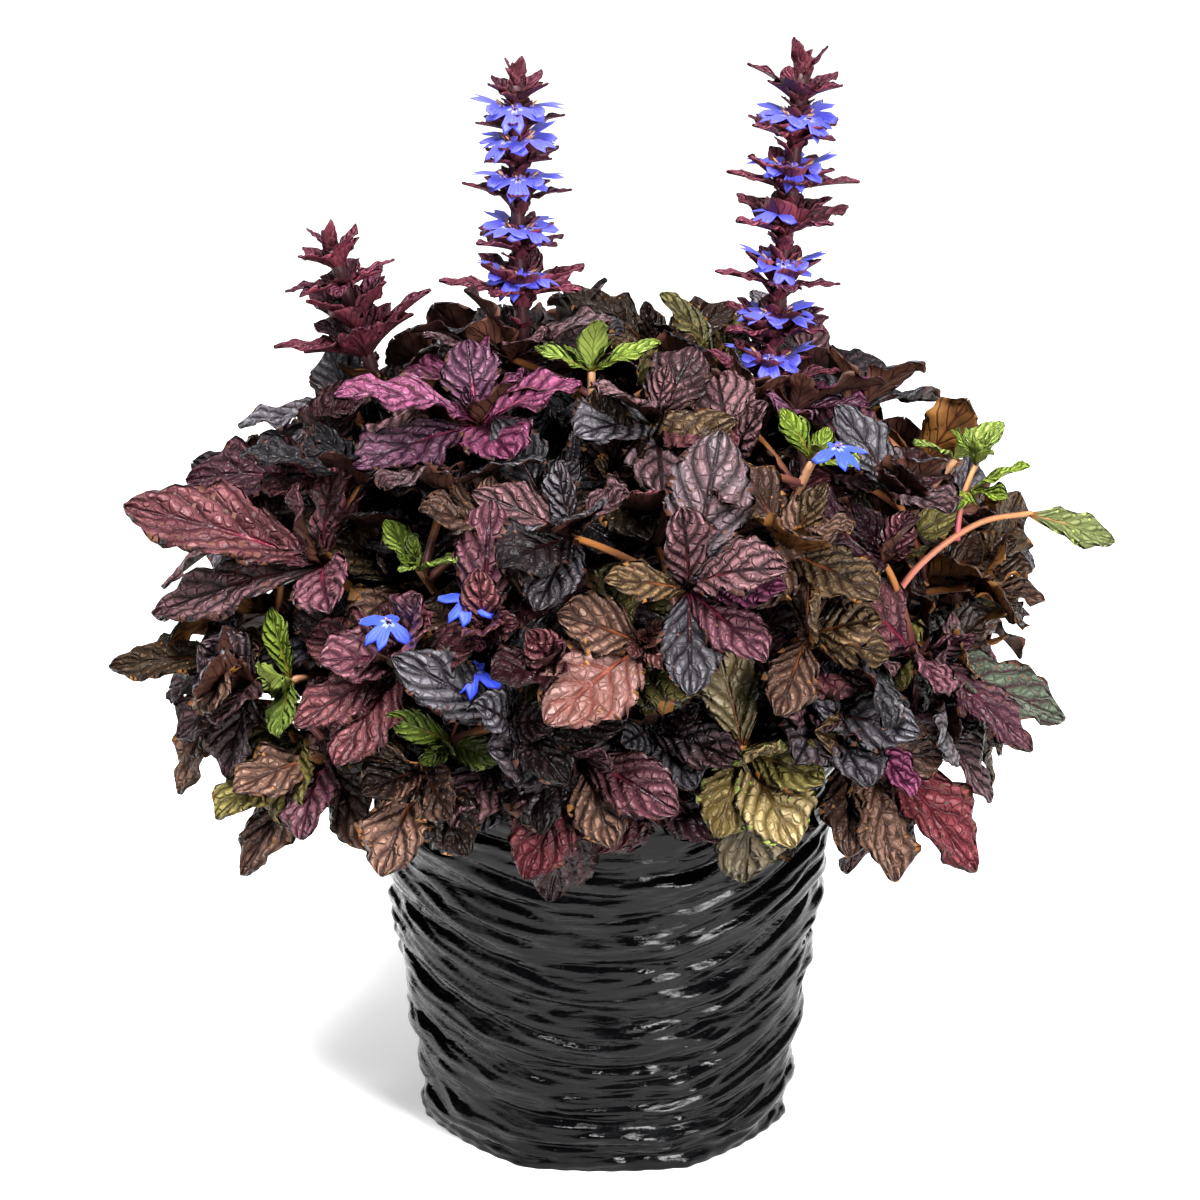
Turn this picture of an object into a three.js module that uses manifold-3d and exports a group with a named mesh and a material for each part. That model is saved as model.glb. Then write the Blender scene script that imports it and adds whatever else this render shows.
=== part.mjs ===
// A potted bugleweed: crinkled dark leaves in a dense mound with three flower spikes, in a nursery pot
// that is wrapped in wrinkled black film. Millimetres, +Z up. The origin is the middle of the base,
// and -Y is the front.
import * as THREE from "three";
import { mergeVertices } from "three/addons/utils/BufferGeometryUtils.js";
import Module from "manifold-3d";

const wasm = await Module();
wasm.setup();

// Pot, film and soil
const RIM_HEIGHT = 149;
const FILM_BASE_RADIUS = 62;
const FILM_RIM_RADIUS = 82.5;
const FILM_WALL = 2.2;
const POT_WALL = 1.8;
const RIM_LIP = 1.5;
const RIM_LIP_HEIGHT = 2;
const SOIL_TOP = 136;
const SOIL_CROWN = 3;
const GAP = 0.3;
const ROUND = 36;
const FILM_ROWS = 14;
const WRINKLE = 0.8;
const WRINKLE_EVEN = 0.65;
const WRINKLE_TURNS = 3;
const WRINKLE_STEP = 1.7;
const WRINKLE_SWAG = 26;
const HEM_HEIGHT = 5;
const HEM_DEPTH = 2.5;
const HEM_CORNERS = 9;

// Mound of leaves: a rounded dome that the leaf tips reach
const MOUND_CENTRE = new THREE.Vector3(0, 0, 165);
const MOUND_HALF_WIDTH = 150;
const MOUND_RISE = 120;
const MOUND_POWER = 2.5;
const CROWN_DEPTH = 0.79;
const CROWNS = 44;
const CROWN_SPACING = 37;
const LOWEST_CROWN = 0.03;
const HIGHEST_CROWN = 0.99;
const UNEVEN_DOME = 0.03;
const DARK_SHARE = 0.62;
const BRONZE_SHARE = 0.22;
const GOLDEN_ANGLE = Math.PI * (3 - Math.sqrt(5));
const SEED = 4067;

// Stems
const STEM_HALF = 1.6;
const SHOOT_HALF = 1.2;
const SPIKE_HALF = 2.1;
const STEM_DEPTH = 11;
const HOLE_ROOM = 0.6;
const FOOT_SPREAD = 0.46;
const STEM_ROOM = 6;
const FOOT_TRIES = [
  [0.46, 0],
  [0.46, 9],
  [0.46, -9],
  [0.38, 0],
  [0.38, 14],
  [0.38, -14],
  [0.3, 0],
  [0.3, 25],
  [0.3, -25],
  [0.52, 0],
  [0.2, 0],
  [0.2, 60],
];
const SHOULDER = 0.3;
const OVER_RIM = 180;
const STEM_STEPS = 5;

// Leaf pairs of a crown, from the lowest and largest up, with their angles in degrees
const PAIRS = [
  { length: 54, width: 27, tilt: 86, bend: 44 },
  { length: 47, width: 25, tilt: 64, bend: 38 },
  { length: 34, width: 19, tilt: 43, bend: 28 },
  { length: 20, width: 11, tilt: 22, bend: 18 },
];
const BUD_RADIUS = 5;
const FACE_FORWARD = new THREE.Vector3(0, -0.15, 0.25);

const BLADE_THICK = 1.5;
const BLADE_WIDTH_TO_THICK = 6;
const PETIOLE = 0.11;
const FULLNESS = 0.8;
const WIDEST = 0.6;
const LARGE_LEAF = 44;
const SMALL_LEAF = 24;

// Where a toothed edge goes out and in: shares of the length and of the plain half width
const EDGES = {
  small: [[0, 1], [0.36, 1], [0.72, 1.1]],
  middle: [[0, 1], [0.3, 0.95], [0.5, 1.12], [0.64, 0.86], [0.8, 1.16]],
  large: [[0, 1], [0.26, 0.9], [0.42, 1.1], [0.54, 0.88], [0.67, 1.1], [0.78, 0.86], [0.9, 1.2]],
};
const RIBS = { small: [0, 0.5], middle: [0, 0.35, 0.7], large: [0, 0.35, 0.7] };

// Clear space that each node keeps from the others
const CELL = 3;

const deg = THREE.MathUtils.degToRad;
const lerp = THREE.MathUtils.lerp;
const at = (x, y, z) => new THREE.Vector3(x, y, z);
const UP = at(0, 0, 1);

// Random numbers from 0 to 1, the same ones each time
function seeded(seed) {
  let state = seed;
  return () => {
    state = (state + 0x6d2b79f5) >>> 0;
    let t = state;
    t = Math.imul(t ^ (t >>> 15), t | 1);
    t ^= t + Math.imul(t ^ (t >>> 7), t | 61);
    return ((t ^ (t >>> 14)) >>> 0) / 4294967296;
  };
}

const draw = seeded(SEED);
const spread = (amount) => (draw() * 2 - 1) * amount;

// Crowns placed by eye, where the front shows its feature leaves: the crown, its tone, and the tip and
// the width of each leaf
const PLACED_CROWNS = [
  {
    name: "dusky_leafy_stem_left",
    tone: "burgundy",
    crown: at(-93, -60, 218),
    leaves: [
      [at(-160, -45, 233), 28],
      [at(-151, -47, 196), 25],
      [at(-99, -74, 250), 20],
      [at(-88, -100, 214), 22],
    ],
  },
  {
    name: "dark_leafy_stem_far_left",
    tone: "bronze",
    crown: at(-122, -48, 181),
    leaves: [
      [at(-167, -42, 176), 17],
      [at(-142, -62, 138), 21],
      [at(-128, -88, 176), 22],
      [at(-149, -18, 160), 22],
    ],
  },
  {
    name: "bronze_leafy_stem_low_left",
    tone: "bronze",
    crown: at(-90, -76, 158),
    leaves: [
      [at(-120, -85, 118), 20],
      [at(-76, -102, 133), 17],
      [at(-98, -110, 140), 22],
      [at(-122, -92, 150), 22],
    ],
  },
  {
    name: "copper_leafy_stem_front",
    tone: "copper",
    crown: at(12, -111, 207),
    leaves: [
      [at(-19, -140, 190), 31],
      [at(-16, -118, 219), 22],
    ],
  },
  {
    name: "dark_leafy_stem_front",
    tone: "dark",
    crown: at(26, -106, 224),
    leaves: [
      [at(23, -118, 255), 19],
      [at(57, -118, 228), 17],
      [at(26, -139, 199), 20],
      [at(50, -132, 208), 20],
      [at(-1, -124, 232), 15],
    ],
  },
  {
    name: "burgundy_leafy_stem_low_front",
    tone: "burgundy",
    crown: at(-8, -112, 170),
    leaves: [
      [at(-26, -127, 133), 23],
      [at(2, -130, 145), 19],
      [at(23, -131, 157), 21],
      [at(-38, -128, 178), 28],
    ],
  },
  {
    name: "gold_leafy_stem_low_front",
    tone: "gold",
    crown: at(44, -104, 169),
    leaves: [
      [at(60, -122, 142), 26],
      [at(35, -124, 146), 20],
      [at(70, -116, 162), 20],
    ],
  },
  {
    name: "red_leafy_stem_low_right",
    tone: "burgundy",
    crown: at(84, -80, 166),
    leaves: [
      [at(92, -104, 128), 21],
      [at(121, -90, 121), 26],
      [at(99, -106, 153), 16],
      [at(66, -108, 186), 20],
    ],
  },
  {
    name: "purple_leafy_stem_right",
    tone: "burgundy",
    crown: at(102, -60, 187),
    leaves: [
      [at(140, -76, 158), 22],
      [at(153, -56, 162), 25],
      [at(106, -98, 186), 20],
    ],
  },
  {
    name: "bronze_leafy_stem_front_right",
    tone: "bronze",
    crown: at(64, -98, 205),
    leaves: [
      [at(84, -116, 174), 27],
      [at(88, -108, 214), 20],
      [at(54, -120, 186), 18],
    ],
  },
  {
    name: "bronze_leafy_stem_right",
    tone: "bronze",
    crown: at(108, -32, 204),
    leaves: [
      [at(138, -36, 219), 20],
      [at(142, -13, 194), 22],
      [at(124, -62, 214), 20],
    ],
  },
  {
    name: "dark_leafy_stem_top_left",
    tone: "dark",
    crown: at(-86, 6, 252),
    leaves: [
      [at(-126, 6, 247), 20],
      [at(-130, -14, 231), 23],
      [at(-84, -32, 262), 24],
      [at(-66, 10, 280), 20],
    ],
  },
  {
    name: "dark_leafy_stem_top",
    tone: "dark",
    crown: at(16, -48, 262),
    leaves: [
      [at(-10, -74, 265), 26],
      [at(42, -76, 262), 26],
      [at(18, -92, 250), 24],
      [at(30, -30, 284), 22],
    ],
  },
  {
    name: "magenta_leafy_stem_top",
    tone: "magenta",
    crown: at(-42, -46, 262),
    leaves: [
      [at(-82, -72, 254), 30],
      [at(-30, -82, 260), 25],
      [at(-46, -28, 286), 20],
    ],
  },
];

// Young green shoots: thin stems with small bright leaves
const SHOOTS = [
  { name: "green_shoot_left", crown: at(-60, -92, 226), lean: at(-62, -96, 250), leaf: 22 },
  { name: "green_shoot_low_left", crown: at(-104, -66, 180), lean: at(-112, -78, 186), leaf: 24 },
  { name: "green_shoot_low_front", crown: at(-50, -104, 172), lean: at(-52, -124, 180), leaf: 23 },
  { name: "green_shoot_top", crown: at(-5, -14, 272), lean: at(-5, -20, 292), leaf: 24 },
  { name: "green_shoot_right", crown: at(68, -48, 250), lean: at(70, -56, 268), leaf: 22 },
  { name: "green_shoot_far_right", crown: at(119, -2, 238), lean: at(121, -4, 262), leaf: 24 },
];

const SHOOT_TILTS = [60, 26];
const SHOOT_BEND = 24;

// The runner arches out of the mound on the right and ends in one olive leaf
const RUNNER = {
  name: "runner_right",
  path: [at(88, -58, 196), at(104, -58, 218), at(124, -48, 229), at(142, -40, 230)],
  tip: at(170, -38, 219),
  leaf: 30,
  width: 15,
  below: 2,
  bendHeight: 168,
  steps: 14,
};

// Flower spikes: where each stem leaves the leaves and where it ends, and its whorls of bracts and flowers
const SPIKES = [
  {
    name: "flower_spike_left",
    neck: at(-79, 12, 262),
    end: at(-93, 12, 308),
    whorls: [
      { z: 272, bracts: 4, bract: 32, tilt: 66 },
      { z: 281, bracts: 4, bract: 25, tilt: 52 },
      { z: 296, bracts: 4, bract: 20, tilt: 84 },
      { z: 302, bracts: 4, bract: 18, tilt: 58 },
      { z: 307, bracts: 3, bract: 12, tilt: 26 },
    ],
  },
  {
    name: "flower_spike_middle",
    neck: at(-29, 14, 286),
    end: at(-30, 14, 364),
    whorls: [
      { z: 291, bracts: 5, bract: 27, tilt: 80, flowers: 3 },
      { z: 307, bracts: 4, bract: 21, tilt: 80, flowers: 4 },
      { z: 324, bracts: 4, bract: 19, tilt: 78, flowers: 4 },
      { z: 337, bracts: 4, bract: 17, tilt: 76, flowers: 4 },
      { z: 348, bracts: 4, bract: 16, tilt: 74, flowers: 3 },
      { z: 358, bracts: 4, bract: 16, tilt: 60 },
      { z: 363, bracts: 3, bract: 12, tilt: 26 },
    ],
  },
  {
    name: "flower_spike_right",
    neck: at(55, 14, 256),
    end: at(66, 14, 368),
    whorls: [
      { z: 262, bracts: 4, bract: 27, tilt: 80, flowers: 3 },
      { z: 277, bracts: 4, bract: 25, tilt: 78, flowers: 4 },
      { z: 295, bracts: 4, bract: 23, tilt: 78, flowers: 4 },
      { z: 313, bracts: 4, bract: 27, tilt: 74, flowers: 1 },
      { z: 328, bracts: 4, bract: 25, tilt: 76, flowers: 4 },
      { z: 345, bracts: 4, bract: 21, tilt: 74, flowers: 4 },
      { z: 359, bracts: 5, bract: 20, tilt: 64 },
      { z: 366, bracts: 3, bract: 14, tilt: 28 },
    ],
  },
];
const BRACT_SHAPE = { widest: 0.5, share: 0.46, bend: 16 };
const BRACT_STRAY = { turn: 0.12, size: 0.1, tilt: 6, bend: 12 };
const FLOWER_ABOVE = 4;
const FLOWER_TILT = 62;
const FLOWER = 15;

const FILM_COLOR = 0x17181a;
const POT_COLOR = 0x1b1b1b;
const SOIL_COLOR = 0x2c2018;
const TONES = {
  dark: 0x2a2029,
  burgundy: 0x5c2034,
  bronze: 0x45352a,
  copper: 0x8a5248,
  magenta: 0x6d2146,
  gold: 0x8a7440,
  green: 0x6f9a35,
};

function solidOf(geometry) {
  const bare = geometry.clone();
  for (const name of Object.keys(bare.attributes)) {
    if (name !== "position") bare.deleteAttribute(name);
  }
  const merged = mergeVertices(bare, 1e-4);
  return new wasm.Manifold(
    new wasm.Mesh({
      numProp: 3,
      vertProperties: merged.attributes.position.array,
      triVerts: new Uint32Array(merged.index.array),
    }),
  );
}

function geometryOf(solid) {
  const mesh = solid.getMesh();
  const geometry = new THREE.BufferGeometry();
  geometry.setAttribute("position", new THREE.BufferAttribute(mesh.vertProperties.slice(), 3));
  geometry.setIndex(new THREE.BufferAttribute(mesh.triVerts.slice(), 1));
  const faceted = geometry.toNonIndexed();
  faceted.computeVertexNormals();
  return faceted;
}

function closedSurface(points, triangles) {
  const geometry = new THREE.BufferGeometry().setFromPoints(points);
  geometry.setIndex(triangles);
  return solidOf(geometry);
}

function filmRadius(z) {
  return lerp(FILM_BASE_RADIUS, FILM_RIM_RADIUS, z / RIM_HEIGHT);
}

// How far the film stands off the smooth cone, out on one row of points and in on the next
function wrinkle(row, turn) {
  const side = row % 2 === 0 ? 1 : -1;
  const varied = (1 - WRINKLE_EVEN) * Math.sin(WRINKLE_TURNS * turn + row * WRINKLE_STEP);
  return side * WRINKLE * (WRINKLE_EVEN + varied);
}

// The folded hem at the foot stands out in a few blunt corners
function hem(z, turn) {
  const fade = Math.max(0, 1 - z / HEM_HEIGHT);
  return fade * HEM_DEPTH * (0.5 + 0.5 * Math.cos(HEM_CORNERS * turn));
}

function filmWrap() {
  const points = [];
  const triangles = [];
  const ring = (radiusAt, heightAt) => {
    const first = points.length;
    for (let i = 0; i < ROUND; i++) {
      const turn = (i / ROUND) * 2 * Math.PI;
      const radius = radiusAt(turn);
      points.push(at(radius * Math.cos(turn), radius * Math.sin(turn), heightAt(turn)));
    }
    return first;
  };
  const band = (lower, upper) => {
    for (let i = 0; i < ROUND; i++) {
      const next = (i + 1) % ROUND;
      triangles.push(lower + i, lower + next, upper + next);
      triangles.push(lower + i, upper + next, upper + i);
    }
  };
  const middle = (z) => points.push(at(0, 0, z)) - 1;
  const fan = (centre, rim, upward) => {
    for (let i = 0; i < ROUND; i++) {
      const next = (i + 1) % ROUND;
      if (upward) triangles.push(centre, rim + i, rim + next);
      else triangles.push(centre, rim + next, rim + i);
    }
  };
  let below = ring((turn) => filmRadius(0) + hem(0, turn), () => 0);
  fan(middle(0), below, false);
  for (let row = 1; row <= FILM_ROWS; row++) {
    const share = row / FILM_ROWS;
    const level = share * RIM_HEIGHT;
    const swing = WRINKLE_SWAG * share * (1 - share);
    const heightAt = (turn) => level + swing * Math.cos(2 * turn);
    const ends = row === FILM_ROWS ? 0 : 1;
    const above = ring((turn) => {
      const z = heightAt(turn);
      return filmRadius(z) + ends * wrinkle(row, turn) + hem(z, turn);
    }, heightAt);
    band(below, above);
    below = above;
  }
  const floor = FILM_WALL / 2;
  const insideTop = ring(() => filmRadius(RIM_HEIGHT) - FILM_WALL, () => RIM_HEIGHT);
  const insideFoot = ring(() => filmRadius(floor) - FILM_WALL, () => floor);
  band(below, insideTop);
  band(insideTop, insideFoot);
  fan(middle(floor), insideFoot, true);
  return closedSurface(points, triangles);
}

function turned(profile) {
  return solidOf(new THREE.LatheGeometry(profile.map(([r, z]) => new THREE.Vector2(r, z)), ROUND))
    .rotate([90, 0, 0]);
}

const POT_FOOT = FILM_WALL / 2 + GAP;
const potRadius = (z) => filmRadius(z) - FILM_WALL - GAP;

function nurseryPot() {
  const top = RIM_HEIGHT - 1;
  const inner = (z) => potRadius(z) - POT_WALL;
  return turned([
    [0, POT_FOOT],
    [potRadius(POT_FOOT), POT_FOOT],
    [potRadius(top), top],
    [inner(top) - RIM_LIP, top],
    [inner(top) - RIM_LIP, top - RIM_LIP_HEIGHT],
    [inner(top - 2 * RIM_LIP_HEIGHT), top - 2 * RIM_LIP_HEIGHT],
    [inner(POT_FOOT + POT_WALL), POT_FOOT + POT_WALL],
    [0, POT_FOOT + POT_WALL],
  ]);
}

function pottingSoil(holes) {
  const foot = POT_FOOT + POT_WALL + GAP;
  const wall = (z) => potRadius(z) - POT_WALL - GAP;
  let soil = turned([
    [0, foot],
    [wall(foot), foot],
    [wall(SOIL_TOP - 2), SOIL_TOP - 2],
    [wall(SOIL_TOP) * 0.9, SOIL_TOP],
    [wall(SOIL_TOP) * 0.5, SOIL_TOP + SOIL_CROWN * 0.7],
    [0, SOIL_TOP + SOIL_CROWN],
  ]);
  for (const hole of holes) soil = soil.subtract(hole);
  return soil;
}

// Blades: a leaf, bract or young leaf is an arched midrib from base to tip with a toothed edge on each side
function framed(blade) {
  const chord = blade.tip.clone().sub(blade.base);
  const reach = chord.length();
  const along = chord.divideScalar(reach);
  const face = blade.face.clone().addScaledVector(along, -blade.face.dot(along)).normalize();
  const half = blade.bend / 2;
  const start = along.clone().multiplyScalar(Math.cos(half)).addScaledVector(face, Math.sin(half));
  const up = face.clone().multiplyScalar(Math.cos(half)).addScaledVector(along, -Math.sin(half));
  const side = start.clone().cross(up);
  return { ...blade, start, up, side, length: (reach * half) / Math.sin(half) };
}

function halfWidth(blade, u) {
  const shift = Math.log(0.5) / Math.log(blade.widest ?? WIDEST);
  const body = Math.sin(Math.PI * Math.min(1, u ** shift));
  return (blade.width / 2) * (PETIOLE * (1 - u) + Math.max(0, body) ** FULLNESS);
}

// A point on the blade: u runs 0 to 1 along the midrib, v -1 to 1 across, and lift is the height off it
function onBlade(blade, u, v, lift = 0) {
  const turn = blade.bend * u;
  const out = (blade.length * Math.sin(turn)) / blade.bend;
  const drop = (blade.length * (1 - Math.cos(turn))) / blade.bend;
  const normal = blade.up.clone().multiplyScalar(Math.cos(turn)).addScaledVector(blade.start, Math.sin(turn));
  const half = halfWidth(blade, u);
  const wave = Math.sin(blade.waves * Math.PI * 2 * u + blade.phase) * blade.ripple;
  const rise = half * v * v * (blade.cup + wave);
  return blade.base
    .clone()
    .addScaledVector(blade.start, out)
    .addScaledVector(blade.up, -drop)
    .addScaledVector(blade.side, half * v)
    .addScaledVector(normal, rise + lift);
}

function sizeOf(blade) {
  if (blade.length > LARGE_LEAF) return "large";
  return blade.length > SMALL_LEAF ? "middle" : "small";
}

// Each side of each face is a strip of triangles between the rib and the edge, alike on both faces
function bladeSolid(blade) {
  const size = sizeOf(blade);
  const ribs = RIBS[size];
  const edge = EDGES[size];
  const points = [];
  const put = (point) => points.push(point) - 1;
  const tip = put(onBlade(blade, 1, 0));
  const thick = Math.min(BLADE_THICK, blade.width / BLADE_WIDTH_TO_THICK) / 2;
  const upper = ribs.map((u) => put(onBlade(blade, u, 0, thick)));
  const lower = ribs.map((u) => put(onBlade(blade, u, 0, -thick)));
  const left = edge.map(([u, out]) => put(onBlade(blade, u, out)));
  const right = edge.map(([u, out]) => put(onBlade(blade, u, -out)));
  const triangles = [];
  const strip = (rib, rim, flip) => {
    const triangle = (a, b, c) => triangles.push(...(flip ? [a, c, b] : [a, b, c]));
    let r = 0;
    let e = 0;
    while (r < ribs.length - 1 || e < edge.length - 1) {
      const nextRib = r < ribs.length - 1 ? ribs[r + 1] : 1;
      const nextEdge = e < edge.length - 1 ? edge[e + 1][0] : 1;
      if (nextEdge <= nextRib) {
        triangle(rib[r], rim[e], rim[e + 1]);
        e++;
      } else {
        triangle(rib[r], rim[e], rib[r + 1]);
        r++;
      }
    }
    triangle(rib[r], rim[e], tip);
  };
  strip(upper, left, false);
  strip(upper, right, true);
  strip(lower, left, true);
  strip(lower, right, false);
  triangles.push(upper[0], right[0], left[0], lower[0], left[0], right[0]);
  return closedSurface(points, triangles);
}

// A lipped flower seen from above: x outwards, y across, z up, as shares of the flower's length
const LIP = [
  [0, 0.1, 0],
  [0.42, 0.14, 0.08],
  [0.6, 0.48, 0.1],
  [0.82, 0.5, 0],
  [0.8, 0.2, 0.02],
  [1.1, 0.3, -0.2],
  [1.22, 0.16, -0.3],
  [1.12, 0, -0.22],
];
const THROAT = 0.62;
const THROAT_THICK = 0.13;

function flowerSolid(flower) {
  const out = flower.tip.clone().sub(flower.base);
  const size = out.length();
  out.normalize();
  const up = flower.face.clone().addScaledVector(out, -flower.face.dot(out)).normalize();
  const side = up.clone().cross(out);
  const place = ([x, y, z]) =>
    flower.base
      .clone()
      .addScaledVector(out, x * size)
      .addScaledVector(side, y * size)
      .addScaledVector(up, z * size);
  const mirrored = LIP.slice(0, -1).reverse().map(([x, y, z]) => [x, -y, z]);
  const points = [...LIP, ...mirrored].map(place);
  const rim = points.length;
  points.push(place([THROAT, 0, THROAT_THICK]), place([THROAT, 0, -THROAT_THICK]));
  const triangles = [];
  for (let i = 0; i < rim; i++) {
    const next = (i + 1) % rim;
    triangles.push(rim, next, i, rim + 1, i, next);
  }
  return closedSurface(points, triangles);
}

function squareTube(path, half, steps) {
  const section = new THREE.Shape();
  section.moveTo(-half, -half);
  section.lineTo(half, -half);
  section.lineTo(half, half);
  section.lineTo(-half, half);
  section.closePath();
  return solidOf(new THREE.ExtrudeGeometry(section, { steps, extrudePath: path, bevelEnabled: false }));
}

// A stem leaves the soil nearly upright, from a foot clear of the others, and bends out over the rim to
// its crown
function stemPath(crown) {
  let path;
  for (const [share, turn] of FOOT_TRIES) {
    const foot = at(crown.x * share, crown.y * share, SOIL_TOP - STEM_DEPTH).applyAxisAngle(UP, deg(turn));
    const shoulder = foot.clone().lerp(crown, SHOULDER);
    shoulder.z = Math.max((foot.z + crown.z) / 2, OVER_RIM);
    path = new THREE.QuadraticBezierCurve3(foot, shoulder, crown);
    const samples = curveSamples(path);
    if (plans.every((plan) => apart(samples, plan.samples) > STEM_ROOM)) return path;
  }
  return path;
}

function apart(some, others) {
  return Math.min(...some.map((a) => Math.min(...others.map((b) => a.distanceTo(b)))));
}

function outward(point) {
  return point.clone().sub(MOUND_CENTRE).add(at(0, 0, MOUND_RISE / 2)).normalize();
}

// The clear-space test: each node's blades and stems claim the small cubes of space around them
const claims = new Map();

function cellsOf(points) {
  return points.map((p) => [Math.floor(p.x / CELL), Math.floor(p.y / CELL), Math.floor(p.z / CELL)]);
}

function claim(owner, points) {
  for (const [x, y, z] of cellsOf(points)) {
    for (let i = x - 1; i <= x + 1; i++) {
      for (let j = y - 1; j <= y + 1; j++) {
        for (let k = z - 1; k <= z + 1; k++) {
          const key = `${i},${j},${k}`;
          if (!claims.has(key)) claims.set(key, new Set());
          claims.get(key).add(owner);
        }
      }
    }
  }
}

function inPot(point) {
  const radius = Math.hypot(point.x, point.y);
  return point.z < RIM_HEIGHT + CELL && radius < filmRadius(point.z) + CELL;
}

function isClear(points, mayMeet) {
  if (points.some(inPot)) return false;
  return cellsOf(points).every(([x, y, z]) => {
    const owners = claims.get(`${x},${y},${z}`);
    return !owners || [...owners].every((owner) => mayMeet.includes(owner));
  });
}

const SAMPLES_ALONG = 11;
const SAMPLES_ACROSS = [-0.95, -0.5, 0, 0.5, 0.95];
const SAMPLES_START = 0.04;
const ROOT_SHARE = 0.34;

// Samples of a blade's root, which may meet its own node, and of the rest, which may meet only the stem
// and the roots of its own node
function bladeSamples(blade) {
  const root = [];
  const rest = [];
  for (let i = 1; i <= SAMPLES_ALONG; i++) {
    const u = lerp(SAMPLES_START, 1, i / SAMPLES_ALONG);
    const part = u < ROOT_SHARE ? root : rest;
    for (const v of SAMPLES_ACROSS) part.push(onBlade(blade, u, v));
  }
  return { root, rest };
}

function curveSamples(curve) {
  const count = Math.ceil(curve.getLength() / CELL);
  return curve.getPoints(count);
}

// Plans: each node is first a stem path with a list of blades and flowers, and becomes a solid at the end
const plans = [];

function newPlan(name, tone, path, half) {
  const plan = { name, tone, path, half, samples: curveSamples(path), blades: [], flowers: [] };
  plans.push(plan);
  claim(name, curveSamples(path));
  return plan;
}

function addBlade(plan, blade, mayCross = false) {
  const made = framed(blade);
  const { root, rest } = bladeSamples(made);
  const blades = `${plan.name} blades`;
  const own = [plan.name, blades];
  if (!isClear(root, own) || !isClear(rest, mayCross ? own : [plan.name])) return false;
  claim(plan.name, root);
  claim(blades, rest);
  plan.blades.push(made);
  return true;
}

// How each leaf differs: its middle values, and how far they vary
const LEAF = { bend: 26, cup: 0.16, waves: 2.5, ripple: 0.17, share: 0.5 };
const VARIES = { bend: 12, cup: 0.14, waves: 0.5, ripple: 0.05, share: 0.05 };

function leafShape(length) {
  return {
    bend: deg(LEAF.bend + spread(VARIES.bend)),
    cup: LEAF.cup + spread(VARIES.cup),
    waves: LEAF.waves + spread(VARIES.waves),
    phase: draw() * 2 * Math.PI,
    ripple: LEAF.ripple + spread(VARIES.ripple),
    width: length * (LEAF.share + spread(VARIES.share)),
  };
}

// A free spot is looked for by turning the leaf, tilting it and making it smaller, in this order
const TRIES = [
  [0, 0, 1],
  [0, -14, 1],
  [0, 14, 1],
  [18, 0, 1],
  [-18, 0, 1],
  [18, -14, 0.92],
  [-18, -14, 0.92],
  [18, 14, 0.92],
  [-18, 14, 0.92],
  [0, -28, 0.88],
  [32, 0, 0.85],
  [-32, 0, 0.85],
  [0, 26, 0.8],
  [24, -24, 0.75],
  [-24, -24, 0.75],
  [0, -14, 0.68],
  [0, 12, 0.62],
  [0, -30, 0.55],
];

function pairDirection(axis, turn, tilt) {
  const across = axis.clone().cross(Math.abs(axis.z) < 0.95 ? UP : at(0, 1, 0)).normalize();
  const other = axis.clone().cross(across);
  const radial = across.multiplyScalar(Math.cos(turn)).addScaledVector(other, Math.sin(turn));
  return {
    along: axis.clone().multiplyScalar(Math.cos(tilt)).addScaledVector(radial, Math.sin(tilt)),
    face: axis.clone().multiplyScalar(Math.sin(tilt)).addScaledVector(radial, -Math.cos(tilt)),
  };
}

// How far the leaves of a pair stray from its sizes, its angles in degrees and its direction
const STRAY = { size: 0.12, bend: 10, tilt: 8, turn: 0.25 };

function addRuledLeaf(plan, spot, axis, turn, pair) {
  const length = pair.length * (1 + spread(STRAY.size));
  const shape = leafShape(length);
  shape.width = pair.width * (1 + spread(STRAY.size));
  shape.bend = deg(pair.bend + spread(STRAY.bend));
  const tilt = deg(pair.tilt + spread(STRAY.tilt));
  for (const [addTurn, addTilt, scale] of TRIES) {
    const { along, face } = pairDirection(axis, turn + deg(addTurn), tilt + deg(addTilt));
    const blade = {
      ...shape,
      base: spot,
      tip: spot.clone().addScaledVector(along, length * scale),
      face,
      width: shape.width * scale,
    };
    if (addBlade(plan, blade)) return;
  }
}

function spotBelow(path, below) {
  const length = path.getLength();
  return path.getPointAt(Math.max(0, 1 - below / length));
}

// Each pair crosses the one below it
function addPair(plan, level) {
  const pair = PAIRS[level];
  const axis = plan.path.getTangent(1);
  for (let side = 0; side < 2; side++) {
    const turn = plan.turn + ((level % 2) * Math.PI) / 2 + side * Math.PI + spread(STRAY.turn);
    addRuledLeaf(plan, plan.crown, axis, turn, pair);
  }
}

// Feature leaves start at their crown and face outwards and up, and one with no clear space is left out
function addFeatureLeaf(plan, tip, width) {
  const shape = leafShape(tip.distanceTo(plan.crown));
  const face = outward(tip).add(FACE_FORWARD);
  addBlade(plan, { ...shape, width, base: plan.crown, tip, face }, true);
}

function planPlacedCrowns() {
  for (const placed of PLACED_CROWNS) {
    const plan = newPlan(placed.name, placed.tone, stemPath(placed.crown), STEM_HALF);
    plan.turn = draw() * Math.PI;
    plan.crown = placed.crown;
  }
  for (const placed of PLACED_CROWNS) {
    const plan = plans.find((p) => p.name === placed.name);
    for (const [tip, width] of placed.leaves) addFeatureLeaf(plan, tip, width);
  }
}

function moundReach(elevation) {
  const across = Math.cos(elevation) / MOUND_HALF_WIDTH;
  const up = Math.sin(elevation) / MOUND_RISE;
  return (across ** MOUND_POWER + up ** MOUND_POWER) ** (-1 / MOUND_POWER);
}

function toneFor(share) {
  if (share < DARK_SHARE) return "dark";
  return share < DARK_SHARE + BRONZE_SHARE ? "bronze" : "burgundy";
}

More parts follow.
